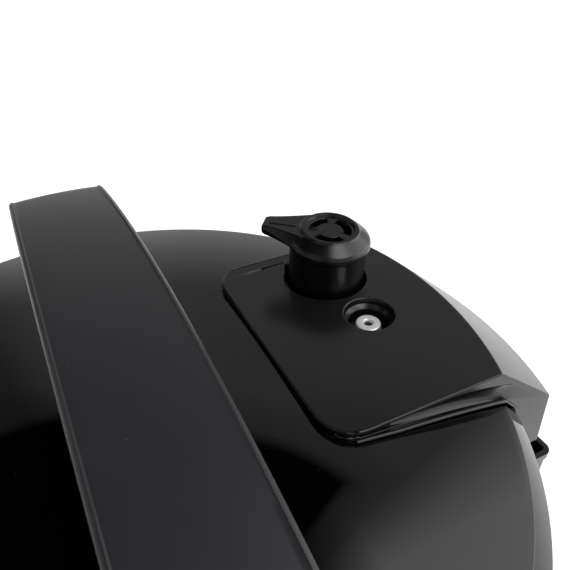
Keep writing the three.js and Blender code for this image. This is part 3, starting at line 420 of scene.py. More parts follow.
def metal(name, color, rough, lines, fineness, centre=AXIS, metallic=1.0):
    """Brushed or turned metal with lines round its own axis and soft handling patches."""
    made, tree, shader = new_finish(name)
    low, high = rough
    set_principled(shader, color, Metallic=metallic, Roughness=low)
    turned_node = add_group(tree, LINES, Fineness=fineness, Centre=tuple(centre))
    shade = tree.nodes.new("ShaderNodeMix")
    shade.data_type = "RGBA"
    shade.blend_type = "MULTIPLY"
    shade.inputs[0].default_value = 1
    shade.inputs[6].default_value = (*color, 1)
    tree.links.new(turned_node.outputs["Shade"], shade.inputs[7])
    tree.links.new(shade.outputs[2], shader.inputs["Base Color"])
    tree.links.new(
        range_node(tree, turned_node.outputs["Patches"], 0.3, 0.7, low, high), shader.inputs["Roughness"])
    bump(tree, turned_node.outputs["Height"], lines, LINE_DEPTH, shader)
    return made


def panel_finish():
    """Gloss panel with a ring of fine white marks round the dial."""
    ring_radius, mark_reach, mark_step, mark_width = 0.0215, 0.0012, math.radians(15), 0.018
    made = plastic("panel_gloss", (0.006, 0.006, 0.007), (0.07, 0.16), grain=0.05, depth=0.00002,
                   scale=500.0, waviness=0.6, dust=0.3)
    tree = made.node_tree
    shader = tree.nodes["Principled BSDF"]
    base = shader.inputs["Base Color"].links[0].from_socket
    place = tree.nodes.new("ShaderNodeTexCoord").outputs["Object"]
    split = tree.nodes.new("ShaderNodeSeparateXYZ")
    tree.links.new(place, split.inputs[0])
    across = math_node(tree, "SUBTRACT", split.outputs[0], DIAL_AT.x * MM)
    above = math_node(tree, "SUBTRACT", split.outputs[2], DIAL_AT.z * MM)
    on_ring = math_node(tree, "COMPARE", length_node(tree, across, above), ring_radius)
    on_ring.node.inputs[2].default_value = mark_reach
    turn = math_node(tree, "ARCTAN2", above, across)
    step = math_node(tree, "PINGPONG", turn, mark_step)
    on_mark = math_node(tree, "LESS_THAN", step, mark_width)
    mark = math_node(tree, "MULTIPLY", on_ring, on_mark)
    tree.links.new(blend_colour(tree, mark, base, (0.75, 0.75, 0.74)), shader.inputs["Base Color"])
    return made


def board_finish():
    """Green solder mask with fine pale tracks."""
    made = plastic("board_green", (0.01, 0.09, 0.04), (0.35, 0.5), grain=0.1, dust=0.2)
    tree = made.node_tree
    shader = tree.nodes["Principled BSDF"]
    base = shader.inputs["Base Color"].links[0].from_socket
    bricks = tree.nodes.new("ShaderNodeTexBrick")
    tree.links.new(tree.nodes.new("ShaderNodeTexCoord").outputs["Object"], bricks.inputs["Vector"])
    bricks.inputs["Scale"].default_value = 90.0
    bricks.inputs["Mortar Size"].default_value = 0.03
    tree.links.new(
        blend_colour(tree, bricks.outputs["Fac"], base, (0.05, 0.22, 0.10)), shader.inputs["Base Color"])
    return made


FLOAT_CENTRE = AXIS + Vector((FLOAT_AT.x, FLOAT_AT.y, 0)) * MM
LID_GLOSS = plastic("lid_gloss_black", (0.0004, 0.0004, 0.0005), (0.012, 0.03), grain=0.012, depth=0.00002,
                    scale=350.0, waviness=0.8, dust=0.1, dust_scale=420.0)
DECK_SATIN = plastic("deck_satin_black", (0.0035, 0.0035, 0.0038), (0.24, 0.30), grain=0.10, scale=2200.0,
                     dust=0.1)
GRIP_SATIN = plastic("grip_satin_black", (0.0105, 0.0105, 0.0122), (0.34, 0.42), grain=0.2, scale=2000.0,
                     dust=0.12)
KNOB_SATIN = plastic("knob_satin_black", (0.0012, 0.0012, 0.0012), (0.26, 0.33), grain=0.2, scale=3000.0,
                     dust=0.1)
CASE_SATIN = plastic("case_satin_black", (0.012, 0.012, 0.0125), (0.33, 0.42), grain=0.25, scale=1800.0)
MATT_BLACK = plastic("matt_black", (0.018, 0.018, 0.019), (0.5, 0.62), grain=0.4, scale=1500.0, dust=0.4)
CUP_GLOSS = plastic("cup_gloss_black", (0.006, 0.006, 0.0062), (0.12, 0.2), grain=0.06, scale=900.0)
PANEL_GLOSS = panel_finish()
LENS = plastic("display_glass", (0.003, 0.0035, 0.0045), (0.02, 0.05), grain=0.01, scale=400.0, coat=0.6)
BUTTON_SATIN = plastic("button_satin", (0.02, 0.02, 0.021), (0.34, 0.42), grain=0.25, scale=2600.0)
RUBBER = plastic("foot_rubber", (0.022, 0.022, 0.022), (0.72, 0.85), grain=0.5, depth=0.00008, scale=1200.0)
SILICONE = plastic("seal_silicone", (0.62, 0.61, 0.57), (0.42, 0.55), grain=0.2, scale=900.0, dust=0.1)
BOARD = board_finish()
SHELL_STEEL = metal("shell_brushed_steel", (0.47, 0.47, 0.475), (0.24, 0.31), lines=0.2, fineness=1700.0)
POT_STEEL = metal("pot_brushed_steel", (0.62, 0.62, 0.61), (0.18, 0.28), lines=0.3, fineness=1100.0)
PRESSED_STEEL = metal("pressed_steel", (0.58, 0.58, 0.58), (0.26, 0.38), lines=0.15, fineness=700.0)
ALUMINIUM = metal("cast_aluminium", (0.60, 0.60, 0.61), (0.36, 0.5), lines=0.45, fineness=520.0)
PIN_METAL = metal("float_pin_metal", (0.86, 0.86, 0.85), (0.42, 0.5), lines=0.2, fineness=2600.0,
                  centre=FLOAT_CENTRE, metallic=0.7)
BRASS = metal("contact_brass", (0.52, 0.36, 0.15), (0.24, 0.36), lines=0.2, fineness=1500.0)


# ---- Drawing ----
def wire(bm, corners, plane="XZ"):
    """Closed outline from (a, b) or (a, b, rounding) corners, laid in a plane."""
    lay = {"XZ": lambda a, b: (a, 0, b), "XY": lambda a, b: (a, b, 0)}[plane]
    points = []
    count = len(corners)
    for i, corner in enumerate(corners):
        here = Vector(corner[:2])
        rounding = corner[2] if len(corner) > 2 else 0
        if not rounding:
            points.append(here)
            continue
        before = (Vector(corners[i - 1][:2]) - here).normalized()
        after = (Vector(corners[(i + 1) % count][:2]) - here).normalized()
        half = before.angle(after) / 2
        if half > NEARLY_STRAIGHT:
            points.append(here)
            continue
        reach = rounding / math.tan(half)
        centre = here + (before + after).normalized() * (rounding / math.sin(half))
        start, stop = here + before * reach - centre, here + after * reach - centre
        sweep = math.atan2(start.x * stop.y - start.y * stop.x, start.dot(stop))
        steps = max(2, round(abs(sweep) / ROUNDING_STEP))
        for k in range(steps + 1):
            points.append(centre + Matrix.Rotation(sweep * k / steps, 2) @ start)
    verts = [bm.verts.new(lay(*p)) for p in points]
    return [bm.edges.new(pair) for pair in zip(verts, verts[1:] + verts[:1])]


def tidy(bm):
    """Merges doubles and turns the faces outwards."""
    bmesh.ops.remove_doubles(bm, verts=bm.verts, dist=WELD)
    bmesh.ops.dissolve_degenerate(bm, dist=SLIVER, edges=bm.edges)
    bmesh.ops.recalc_face_normals(bm, faces=bm.faces)
    return bm


def turn(bm, angle, axis="Z", about=(0, 0, 0)):
    bmesh.ops.rotate(bm, verts=bm.verts, cent=about, matrix=Matrix.Rotation(angle, 3, axis))


def shift(bm, x, y, z):
    bmesh.ops.translate(bm, verts=bm.verts, vec=(x, y, z))


def turned(corners, steps=160, at=(0, 0), angle=FULL, start=0.0):
    """A solid of revolution about the upright line through at."""
    bm = bmesh.new()
    edges = wire(bm, corners)
    turn(bm, start)
    whole = angle == FULL
    if not whole:
        bmesh.ops.contextual_create(bm, geom=edges)
    bmesh.ops.spin(bm, geom=bm.verts[:] + bm.edges[:] + bm.faces[:], cent=(0, 0, 0), axis=(0, 0, 1),
                   angle=angle, steps=steps, use_merge=whole, use_duplicate=False)
    shift(bm, at[0], at[1], 0)
    return tidy(bm)


def tube(r0, r1, low, high, steps=160, at=(0, 0), **arc):
    """A plain upright ring between two radii, or a rod where the first is nought."""
    return turned([(r0, low), (r1, low), (r1, high), (r0, high)], steps, at, **arc)


def slab(corners, low, high):
    """An outline in X and Y, made thick along Z."""
    bm = bmesh.new()
    edges = wire(bm, corners, plane="XY")
    faces = bmesh.ops.contextual_create(bm, geom=edges)["faces"]
    shift(bm, 0, 0, low)
    out = bmesh.ops.extrude_face_region(bm, geom=faces)
    moved = [v for v in out["geom"] if isinstance(v, bmesh.types.BMVert)]
    bmesh.ops.translate(bm, verts=moved, vec=(0, 0, high - low))
    return tidy(bm)


def slab_y(corners, front, back):
    """An outline in X and Z, made thick along Y."""
    bm = slab(corners, 0, back - front)
    turn(bm, QUARTER, "X")
    shift(bm, 0, back, 0)
    return bm


def block(x0, x1, y0, y1, z0, z1, rounding=0.0):
    """A box, with its edges rounded if asked."""
    bm = slab([(x0, y0), (x1, y0), (x1, y1), (x0, y1)], z0, z1)
    if rounding:
        bmesh.ops.bevel(bm, geom=bm.edges[:], offset=rounding, segments=3, profile=0.5,
                        affect="EDGES", material=-1)
    return bm


def rectangle(width, height, rounding, x=0.0, z=0.0):
    a, b = width / 2, height / 2
    return [(x + a, z - b, rounding), (x + a, z + b, rounding), (x - a, z + b, rounding),
            (x - a, z - b, rounding)]


def swept(ring, stations):
    """A closed solid from a ring of points, drawn again at each of its stations."""
    bm = bmesh.new()
    verts = [bm.verts.new(p) for p in ring(0)]
    edges = [bm.edges.new(pair) for pair in zip(verts, verts[1:] + verts[:1])]
    bmesh.ops.contextual_create(bm, geom=edges)
    for i in range(1, stations):
        out = bmesh.ops.extrude_edge_only(bm, edges=edges)["geom"]
        verts = [e for e in out if isinstance(e, bmesh.types.BMVert)]
        edges = [e for e in out if isinstance(e, bmesh.types.BMEdge)]
        for vert, point in zip(verts, ring(i)):
            vert.co = point
    bmesh.ops.contextual_create(bm, geom=edges)
    return tidy(bm)


def temporary(bm):
    mesh = bpy.data.meshes.new("temporary")
    bm.to_mesh(mesh)
    bm.free()
    thing = bpy.data.objects.new("temporary", mesh)
    bpy.context.scene.collection.objects.link(thing)
    return thing


def combine(bm, others, operation):
    """Cuts, joins or keeps the common part of solids."""
    thing = temporary(bm)
    tools = [temporary(other) for other in others]
    for tool in tools:
        modifier = thing.modifiers.new("combine", "BOOLEAN")
        modifier.operation = operation
        modifier.solver = "EXACT"
        modifier.object = tool
    graph = bpy.context.evaluated_depsgraph_get()
    mesh = bpy.data.meshes.new_from_object(thing.evaluated_get(graph))
    made = bmesh.new()
    made.from_mesh(mesh)
    for gone in [thing, *tools]:
        bpy.data.meshes.remove(gone.data)
    bpy.data.meshes.remove(mesh)
    bmesh.ops.remove_doubles(made, verts=made.verts, dist=WELD)
    bmesh.ops.dissolve_degenerate(made, dist=SLIVER, edges=made.edges)
    return made


def cut(bm, *others):
    return combine(bm, others, "DIFFERENCE")


def join(bm, *others):
    return combine(bm, others, "UNION")


def common(bm, *others):
    return combine(bm, others, "INTERSECT")


def settle(name, bm, body, finish, replaces=(), edge=0.0, segments=2, sharp=32, limit=30, clamp=True):
    """Puts a drawn solid in place as a finished piece of the cooker."""
    bmesh.ops.scale(bm, vec=(MM, MM, MM), verts=bm.verts)
    bmesh.ops.translate(bm, verts=bm.verts, vec=AXIS)
    for face in bm.faces:
        face.smooth = True
    if not edge:
        for line in bm.edges:
            line.smooth = len(line.link_faces) == 2 and line.calc_face_angle(0) < math.radians(sharp)
    mesh = bpy.data.meshes.new(name)
    bm.to_mesh(mesh)
    bm.free()
    mesh.materials.append(finish)
    piece = bpy.data.objects.new(name, mesh)
    bpy.context.scene.collection.objects.link(piece)
    if edge:
        softened = piece.modifiers.new("softened_edges", "BEVEL")
        softened.width = edge * MM
        softened.segments = segments
        softened.limit_method = "ANGLE"
        softened.angle_limit = math.radians(limit)
        softened.harden_normals = True
        softened.use_clamp_overlap = clamp
        softened.miter_outer = "MITER_ARC"
    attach(piece, body)
    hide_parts(*replaces)
    return piece


# ---- Lid ----
def dome_arc(drop, far):
    """Points down the dome from its middle, lowered by drop."""
    reach = [far * i / DOME_STEPS for i in range(DOME_STEPS + 1)]
    return [(r, dome_z(r) - drop) for r in reach]


def make_cover():
    """Polished dome with a bevelled edge, bored for the steam pipe and the float pin."""
    wall, pipe_bore, float_bore = 3, 7.8, 7.0
    outer = dome_arc(0, LID_TOP_R)
    outer[-1] = (*outer[-1], 1.0)
    inner = dome_arc(wall, LID_TOP_R - wall / 2)[::-1]
    bm = turned(outer + [
        (LID_R, LID_EDGE - LID_BEVEL_DROP, 1.2), (LID_R, LID_RIM, 0.8), (LID_R - wall, LID_RIM, 0.8),
        (LID_R - wall, LID_EDGE - LID_BEVEL_DROP - 1)] + inner, 240)
    holes = [tube(0, bore, LID_EDGE - 8, LID_EDGE + 32, 48, at)
             for bore, at in ((pipe_bore, KNOB_AT), (float_bore, FLOAT_AT))]
    settle("lid_cover_polished", cut(bm, *holes), "lid", LID_GLOSS, ["lid_cover"], sharp=30)


def make_grip():
    """Arched carrying bar: a crowned section carried along the arch and down both legs."""
    half_w = GRIP_W / 2
    grip_t, inner_half = 12, 106
    leg_out, leg_in = 133, 116
    arch_steps, leg_steps = 24, 16
    outer, inner = [], []
    for i in range(arch_steps + 1):
        x = ARCH_HALF * i / arch_steps
        outer.append(Vector((x, arch_z(x))))
        inner.append(Vector((x * inner_half / ARCH_HALF, arch_z(x) - grip_t)))
    # Each shoulder is one smooth bend from the arch down into the leg.
    foot = dome_z(LID_TOP_R - 27) - 4
    outer_bend = [outer[-1], Vector((leg_out - 1, ARCH_TOP - 17.2)), Vector((leg_out, LID_EDGE + 32)),
                  Vector((leg_out, LID_EDGE - 6))]
    inner_bend = [inner[-1], Vector((leg_in - 3.5, inner[-1].y - 1.2)), Vector((leg_in, LID_EDGE + 24)),
                  Vector((leg_in, foot))]
    for line, bend in ((outer, outer_bend), (inner, inner_bend)):
        for i in range(1, leg_steps + 1):
            k = i / leg_steps
            line.append(bend[0] * (1 - k) ** 3 + bend[1] * 3 * k * (1 - k) ** 2
                        + bend[2] * 3 * k * k * (1 - k) + bend[3] * k ** 3)
    path = list(zip(outer, inner))
    both = [(Vector((-o.x, o.y)), Vector((-n.x, n.y))) for o, n in path[:0:-1]] + path
    crown, edge, under = 1.1, 2.6, 2.2
    across = [(half_w - edge) * i / 12 for i in range(-12, 13)]
    top = [(y, crown - crown * (1 - (y / half_w) ** 2)) for y in across]
    arc = [QUARTER * i / 6 for i in range(1, 6)]
    right = [(half_w - edge + edge * math.sin(a), crown * 0.2 + edge - edge * math.cos(a)) for a in arc]
    low_right = [(half_w - under + under * math.cos(a), -under + under * math.sin(a)) for a in arc]

    def ring(i):
        outer, inner = both[i]
        down = inner - outer
        depth = down.length
        down = down.normalized()
        shape = top + right
        shape += [(y, depth + h) for y, h in [(half_w, -under)] + low_right + [(half_w - under, 0)]]
        shape += [(-y, depth + h) for y, h in [(half_w - under, 0)] + low_right[::-1] + [(half_w, -under)]]
        shape += [(-y, h) for y, h in right[::-1]]
        return [Vector((outer.x + down.x * h, y, outer.y + down.y * h)) for y, h in shape]

    bm = cut(swept(ring, len(both)), under_lid(0.1))
    settle("carrying_bar", bm, "lid", GRIP_SATIN, ["lid_handle"], sharp=40)


def deck_outline(inset):
    """The deck seen from above: square at the back, rounded and slightly bowed at the front."""
    x, y, r = DECK_HALF_W - inset, DECK_FRONT + inset, 15 - inset
    bow = [(-x * k, y + 0.8 * k * k) for k in (0.65, 0.45, 0.2, 0.0, -0.2, -0.45, -0.65)]
    return [(x, y + 0.8, r), (x, DECK_REACH), (-x, DECK_REACH), (-x, y + 0.8, r), *bow]


def deck_solid(inset, steps=256):
    """The deck's outer form, or its inner one where inset is the wall's thickness."""
    top, half = DECK_TOP - inset, 64
    whole = turned([
        (0, SKIRT_BOTTOM - inset), (0, top), (DECK_TOP_R - 0.4 * inset, top),
        (SKIRT_SHOULDER_R - inset, SKIRT_SHOULDER - 0.4 * inset),
        (SKIRT_R - inset, SKIRT_BOTTOM - inset)], steps)
    # The flat top falls away a little to both sides, as the dome does.
    across = [half * k / 24 for k in range(-24, 25)]
    arch = [(x, top - DECK_CROWN * (x / DECK_HALF_W) ** 2) for x in across]
    roof = slab_y([(-half, DECK_REACH), *arch, (half, DECK_REACH)], 20, DECK_REACH + 10)
    return common(whole, slab(deck_outline(inset), SKIRT_BOTTOM - inset - 1, DECK_TOP + 2), roof)


def under_lid(gap):
    """Cutter that holds all the room under the lid's top, plus a gap."""
    arc = dome_arc(-gap, LID_TOP_R)
    bevel = LID_EDGE - LID_BEVEL_DROP + gap
    return turned(arc + [(LID_R + gap, bevel), (LID_R + gap, 200), (0, 200)], 256)


def side_channel(side):
    """Cutter for the hollow along the deck's side wall: a scooped section that runs out to the skirt."""
    depth, stations = 3.0, 40
    first, fade, last = 50, 104, 142

    def ring(i):
        k = i / (stations - 1)
        y = first + (last - first) * k
        out = max(0.0, (y - fade) / (last - fade))
        deep = depth * (1 - out ** 2.2)
        foot = dome_z(min(math.hypot(DECK_HALF_W, y), LID_TOP_R)) + 1.2
        crest = DECK_TOP - DECK_CROWN - 1.7 - 7.5 * out ** 1.5
        low = min(foot, crest - 1.0)
        points = [Vector((side * (DECK_HALF_W + 9), y, z)) for z in (low, crest)]
        # The scoop is deepest 42% of the way up.
        for j in range(15):
            a = math.radians(90 - 180 * j / 14)
            mid, tall = low + (crest - low) * 0.42, (crest - low) * (0.58 if a > 0 else 0.42)
            x = DECK_HALF_W + 0.05 - deep * math.cos(a)
            points.append(Vector((side * x, y, mid + tall * math.sin(a))))
        return points

    keep = slab([(side * 44, 40), (side * 100, 40), (side * 100, 170), (side * 44, 170)], 240, 300)
    corner = slab([(0, DECK_FRONT + depth), (side * (DECK_HALF_W - depth), DECK_FRONT + depth, 12.5),
                   (side * (DECK_HALF_W - depth), 88), (0, 88)], 250, 300)
    ahead = [(side * 44, 45), (side * 80, 45), (side * 80, 82), (side * 44, 82)]
    front = cut(slab(ahead, LID_EDGE + 8, DECK_TOP - 3.3), corner, under_lid(1.3))
    return join(common(swept(ring, stations), keep), front)


def make_deck():
    """Valve deck: crowned top, hollow under it, wells for knob and float, and a skirt over the rear."""
    shell = cut(deck_solid(0), side_channel(1), side_channel(-1))
    inner_half = 51.5
    hollow = common(deck_solid(DECK_WALL, 128), block(-inner_half, inner_half, 0, 250, 200, 300))
    shell = cut(shell, hollow)
    wells = [(KNOB_AT, KNOB_WELL_R), (FLOAT_AT, FLOAT_WELL_R)]
    walls = [tube(r - 0.4, r + 2, LID_EDGE - 6, DECK_TOP - 1, 96, at) for at, r in wells]
    shell = join(shell, *walls)
    holes = [tube(0, r, LID_EDGE - 13, DECK_TOP + 3, 96, at) for at, r in wells]
    shell = cut(shell, *holes, under_lid(0.12), tube(0, COLLAR_R + 2.5, 200, LID_RIM + 1, 128))
    settle("valve_deck_moulding", shell, "lid", DECK_SATIN, ["valve_deck"],
           edge=0.7, segments=3, limit=34, clamp=False)
    # Stepped liner inside the float valve's well.
    foot, outer, inner = dome_z(110) - 0.5, FLOAT_WELL_R - 0.15, FLOAT_WELL_R - 2.4
    liner = turned([
        (inner, foot), (outer, foot), (outer, DECK_TOP - 2.6), (outer - 0.5, DECK_TOP - 2.4, 0.2),
        (inner + 0.5, DECK_TOP - 3.8, 0.3), (inner, DECK_TOP - 4.4, 0.3)], 72, FLOAT_AT)
    settle("float_well_liner", liner, "lid", KNOB_SATIN, sharp=40)


def make_deck_lips():
    """Thin bead along the foot of each side wall, following the dome."""
    stations, length, size = 40, 82, 0.75
    for side, label in ((1, "right"), (-1, "left")):
        def ring(i):
            k = i / (stations - 1)
            y = DECK_FRONT + 10 + k * length
            x = DECK_HALF_W + 0.3 + 1.0 * min(1.0, k * 5)
            r = math.hypot(x, y)
            beyond = (r - LID_TOP_R) / (LID_R - LID_TOP_R)
            z = dome_z(r) if r < LID_TOP_R else LID_EDGE - beyond * LID_BEVEL_DROP
            lift = 0.9 + 0.8 * k
            turns = [FULL * j / 12 for j in range(12)]
            return [Vector((side * (x + size * 1.3 * math.cos(a) - 0.6), y, z + lift + size * math.sin(a)))
                    for a in turns]

        settle("deck_lip_" + label, swept(ring, stations), "lid", DECK_SATIN, sharp=60)


def make_knob():
    """Turned knob with a pointed lever and a small tab, bored to hang on the steam pipe."""
    bore, pivot, lean_deg, tab_deg = 8.9, 287, 3.8, -124
    body = turned([
        (bore, 279), (17.4, 279, 0.5), (17.9, 305.2, 0.8), (18.9, 306.6, 0.6), (18.9, 309.6, 3.2),
        (13.7, 313.4, 0.9), (13.0, 314.3, 0.4), (11.4, 314.3, 0.4), (10.9, 313.0, 0.2), (0, 313.0),
        (0, 308), (bore, 308)], 128)
    slots = [tube(6.1, 9.7, 309, 316, 18, angle=QUARTER, start=math.radians(i * 120 + 40))
             for i in range(3)]
    body = cut(body, *slots)
    root, reach, blunt_from, stations = 9.0, 31.0, 29.6, 14

    def ring(i):
        k = i / (stations - 1)
        s = root + (reach - root) * k
        blunt = max(0.0, (s - blunt_from) / (reach - blunt_from))
        taper, square = (1 - k) ** 1.35, 1 - 0.13 * blunt ** 2
        crest, wide = (4.2 + 6.6 * taper) * square, (4.9 + 11.3 * taper) * square
        top = 313.2 - 1.0 * k - 0.4 * blunt
        low = 306.2 + 1.2 * k + 0.4 * blunt
        flank = low + 1.6 + 1.8 * k
        shape = [(-wide, flank), (-crest, top), (crest, top), (wide, flank), (wide * 0.93, low + 0.8),
                 (wide * 0.82, low), (-wide * 0.82, low), (-wide * 0.93, low + 0.8)]
        return [Vector((s, y, z)) for y, z in shape]

    groove = block(15.5, 28.4, 1.5, 2.1, 311.9, 316)
    lever = cut(swept(ring, stations), groove, tube(0, 13.0, 300, 320, 64))
    tab = block(16, 19.6, -1.8, 1.8, 287.6, 292.4)
    turn(lever, math.radians(LEVER_DEG))
    turn(tab, math.radians(tab_deg))
    knob = join(body, lever, tab)
    # It hangs loose on its pipe, so it leans.
    turn(knob, math.radians(lean_deg), Vector((-0.35, 0.94, 0)), (0, 0, pivot))
    shift(knob, KNOB_AT.x, KNOB_AT.y, 0)
    settle("steam_release_knob", knob, "release_knob", KNOB_SATIN, ["release_knob"],
           edge=0.4, segments=3, limit=28, clamp=False)


def make_float():
    lo, hi = span("float_pin")
    cap_r, cap_h, top = hi.x - FLOAT_AT.x - 0.4, 4, hi.z
    pin = turned([
        (0, lo.z), (3, lo.z, 0.4), (3, top - cap_h), (cap_r, top - cap_h, 0.3), (cap_r, top, 0.8),
        (2.4, top, 0.4), (1.8, top - 0.8), (1.8, top - 9), (0, top - 9)], 64, FLOAT_AT)
    settle("float_pin_turned", pin, "float_valve", PIN_METAL, ["float_pin"], sharp=40)
    # Black plug just inside the top of the pin's bore: painted shade standing in for the dark hollow in the
    # pin's top.
    socket = turned([
        (0, top - 2.2), (1.75, top - 2.2), (1.75, top - 1.1), (0.8, top - 1.1), (0.7, top - 0.8),
        (0, top - 0.8)], 32, FLOAT_AT)
    settle("float_pin_painted_shade_plug", socket, "float_valve", KNOB_SATIN, sharp=40)


make_cover()
make_grip()
make_deck()
make_deck_lips()
make_knob()
make_float()


# ---- Base casing ----
def make_casing():
    sheet = 1.5
    shell = turned([
        (BODY_R - sheet, SHELL_BOTTOM), (BODY_R, SHELL_BOTTOM, 0.4), (BODY_R, SHELL_TOP, 0.4),
        (BODY_R - sheet, SHELL_TOP)], 240)
    settle("steel_shell", shell, "base", SHELL_STEEL, ["outer_shell"], sharp=40)

    lo, hi = span("base_ring")
    foot_r = BODY_R - 3
    ring = turned([
        (foot_r - 4, lo.z), (foot_r, lo.z, 1.2), (BODY_R + 1.5, hi.z - 2.2), (BODY_R + 1.5, hi.z, 0.7),
        (BODY_R - 1.6, hi.z), (BODY_R - 2.2, hi.z - 4), (foot_r - 3.4, lo.z + 8), (foot_r - 8, lo.z + 7.2),
        (foot_r - 8, lo.z + 3.6), (foot_r - 4, lo.z + 3.6)], 240)
    mid_z = middle("power_inlet").z
    hole = slab_y(rectangle(30.6, 22.6, 3, 0, mid_z), 110, 160)
    settle("base_moulding", cut(ring, hole), "base", CASE_SATIN, ["base_ring"], sharp=35)

    top = span("upper_collar")[1].z
    low, channel = top - 31, 150.3
    collar = turned([
        (BODY_R + 0.6, low - 1.4, 0.4), (BODY_R + 1.6, low - 1.4, 0.4), (COLLAR_R, low + 7, 2.5),
        (COLLAR_R, top, 1.6), (channel, top, 0.8), (channel, top - 20), (126, top - 20), (126, top - 23),
        (channel - 3, top - 23), (channel - 3, low), (BODY_R + 0.6, low)], 240)
    spout = block(-14, 14, BODY_R + 0.3, 168, 200, low + 9, 1.2)
    drain = block(-5, 5, channel - 2, 164, top - 24, top - 17)
    drop = block(-5, 5, 158, 164, 199, low + 7)
    collar = cut(join(collar, spout), drain, drop)
    settle("upper_collar_moulding", collar, "base", CASE_SATIN, ["upper_collar"],
           edge=0.3, segments=2, limit=40)

    r0, r1 = COLLAR_R + 0.3, COLLAR_R + 24.3
    a, b = math.radians(42), math.radians(36)
    for label, middle_angle in (("right", 0), ("left", math.pi)):
        name = "side_handle_" + label
        lo, hi = span(name)
        grip = turned([(r0, lo.z), (r1, lo.z, 3), (r1, hi.z, 6), (r0, hi.z, 1)], 40, angle=a, start=-a / 2)
        hollow = turned([(r0 + 4.5, lo.z - 2), (r1 - 4.5, lo.z - 2), (r1 - 4.5, hi.z - 4.5, 5),
                         (r0 + 4.5, hi.z - 4.5, 2)], 36, angle=b, start=-b / 2)
        grip = cut(grip, hollow)
        turn(grip, middle_angle)
        settle(name + "_moulding", grip, "base", CASE_SATIN, [name],
               edge=2.2, segments=5, limit=40)

    for i in range(1, 5):
        name = "foot_%d" % i
        lo, hi = span(name)
        foot = turned([
            (0, lo.z), (10.6, lo.z, 0.8), (12, lo.z + 5, 0.5), (4, lo.z + 5), (4, hi.z), (0, hi.z)],
            48, middle(name))
        settle("rubber_" + name, foot, "base", RUBBER, [name], sharp=40)

    lo, hi = span("power_inlet")
    body = slab_y(rectangle(30, 22, 3, 0, mid_z), lo.y, hi.y)
    socket = slab_y(rectangle(24, 16, 2.4, 0, mid_z), lo.y + 3, hi.y + 2)
    pins = [span("inlet_pin_%d" % i) for i in (1, 2, 3)]
    slots = [block(p.x - 0.2, q.x + 0.2, lo.y - 2, lo.y + 5, p.z - 0.2, q.z + 0.2) for p, q in pins]
    settle("inlet_socket", cut(body, socket, *slots), "base", MATT_BLACK, ["power_inlet"],
           edge=0.5, segments=2, limit=35)


def curved_plate(r0, r1, outline):
    """A plate on the cooker's curved front, trimmed to an outline in X and Z."""
    half = math.asin(70 / r0)
    blank = tube(r0, r1, 0, 240, 48, angle=2 * half, start=-QUARTER - half)
    return common(blank, slab_y(outline, -r1 - 8, -r0 * 0.5))


def make_controls():
    lo, hi = span("control_panel")
    mid = (lo + hi) / 2
    back = BODY_R + 0.8
    lens_lo, lens_hi = span("display_lens")
    lens_mid = (lens_lo + lens_hi) / 2
    wide, tall = lens_hi.x - lens_lo.x, lens_hi.z - lens_lo.z
    plate = curved_plate(back, PANEL_R, rectangle(hi.x - lo.x, hi.z - lo.z, 18, 0, mid.z))
    window = rectangle(wide + 0.5, tall + 0.5, 4.2, 0, lens_mid.z)
    cutters = [curved_plate(PANEL_R - 1.9, PANEL_R + 4, window)]
    buttons = []
    for i in range(1, 7):
        name = "button_%d" % i
        b_lo, b_hi = span(name)
        b_mid = (b_lo + b_hi) / 2
        buttons.append((name, b_mid, b_hi.x - b_lo.x, b_hi.z - b_lo.z))
        opening = rectangle(b_hi.x - b_lo.x + 1.2, b_hi.z - b_lo.z + 1.2, 3.6, b_mid.x, b_mid.z)
        cutters.append(slab_y(opening, -PANEL_R - 5, -PANEL_R + 9))
    cutters.append(slab_y(rectangle(8.6, 8.6, 4.2, 0, DIAL_AT.z), -PANEL_R - 5, -120))
    settle("control_panel_face", cut(plate, *cutters), "base", PANEL_GLOSS,
           ["control_panel"], edge=0.6, segments=3, limit=35)
    lens = curved_plate(PANEL_R - 1.6, PANEL_R + 0.3, rectangle(wide, tall, 4, 0, lens_mid.z))
    settle("display_window", lens, "base", LENS, ["display_lens"],
           edge=0.3, segments=2, limit=35)
    for name, at, w, h in buttons:
        key = curved_plate(PANEL_R - 6, PANEL_R + 0.6, rectangle(w, h, 3, at.x, at.z))
        settle(name + "_key", key, name, BUTTON_SATIN, [name],
               edge=0.6, segments=3, limit=35)

    # Dial: fluted grip and a flat face with a pale pointer let into it.
    lo, hi = span("control_dial")
    front, rear = -lo.y, -hi.y
    face = PANEL_R + 0.8
    dial = turned([
        (0, rear), (3.5, rear), (3.5, face), (17, face, 0.5), (16.6, face + 10.5, 1.2), (14.6, front, 1.0),
        (12.5, front - 0.6, 0.5), (0, front - 0.9)], 144)
    flute_count, flute_at, flute_r = 36, 17.1, 0.55
    around = [FULL * i / flute_count for i in range(flute_count)]
    flutes = [tube(0, flute_r, face + 1.5, front + 1, 8, (flute_at * math.cos(a), flute_at * math.sin(a)))
              for a in around]
    groove = block(-0.7, 0.7, 9.5, 16, front - 1.4, front + 2)
    dial = cut(dial, *flutes, groove)
    pointer = block(-0.55, 0.55, 9.8, 15.4, front - 1.4, front - 0.75)
    for part in (dial, pointer):
        turn(part, QUARTER, "X")
        shift(part, 0, 0, DIAL_AT.z)
    settle("selector_dial", dial, "control_dial", BUTTON_SATIN, ["control_dial"], sharp=35)
    settle("dial_pointer", pointer, "control_dial", SILICONE)


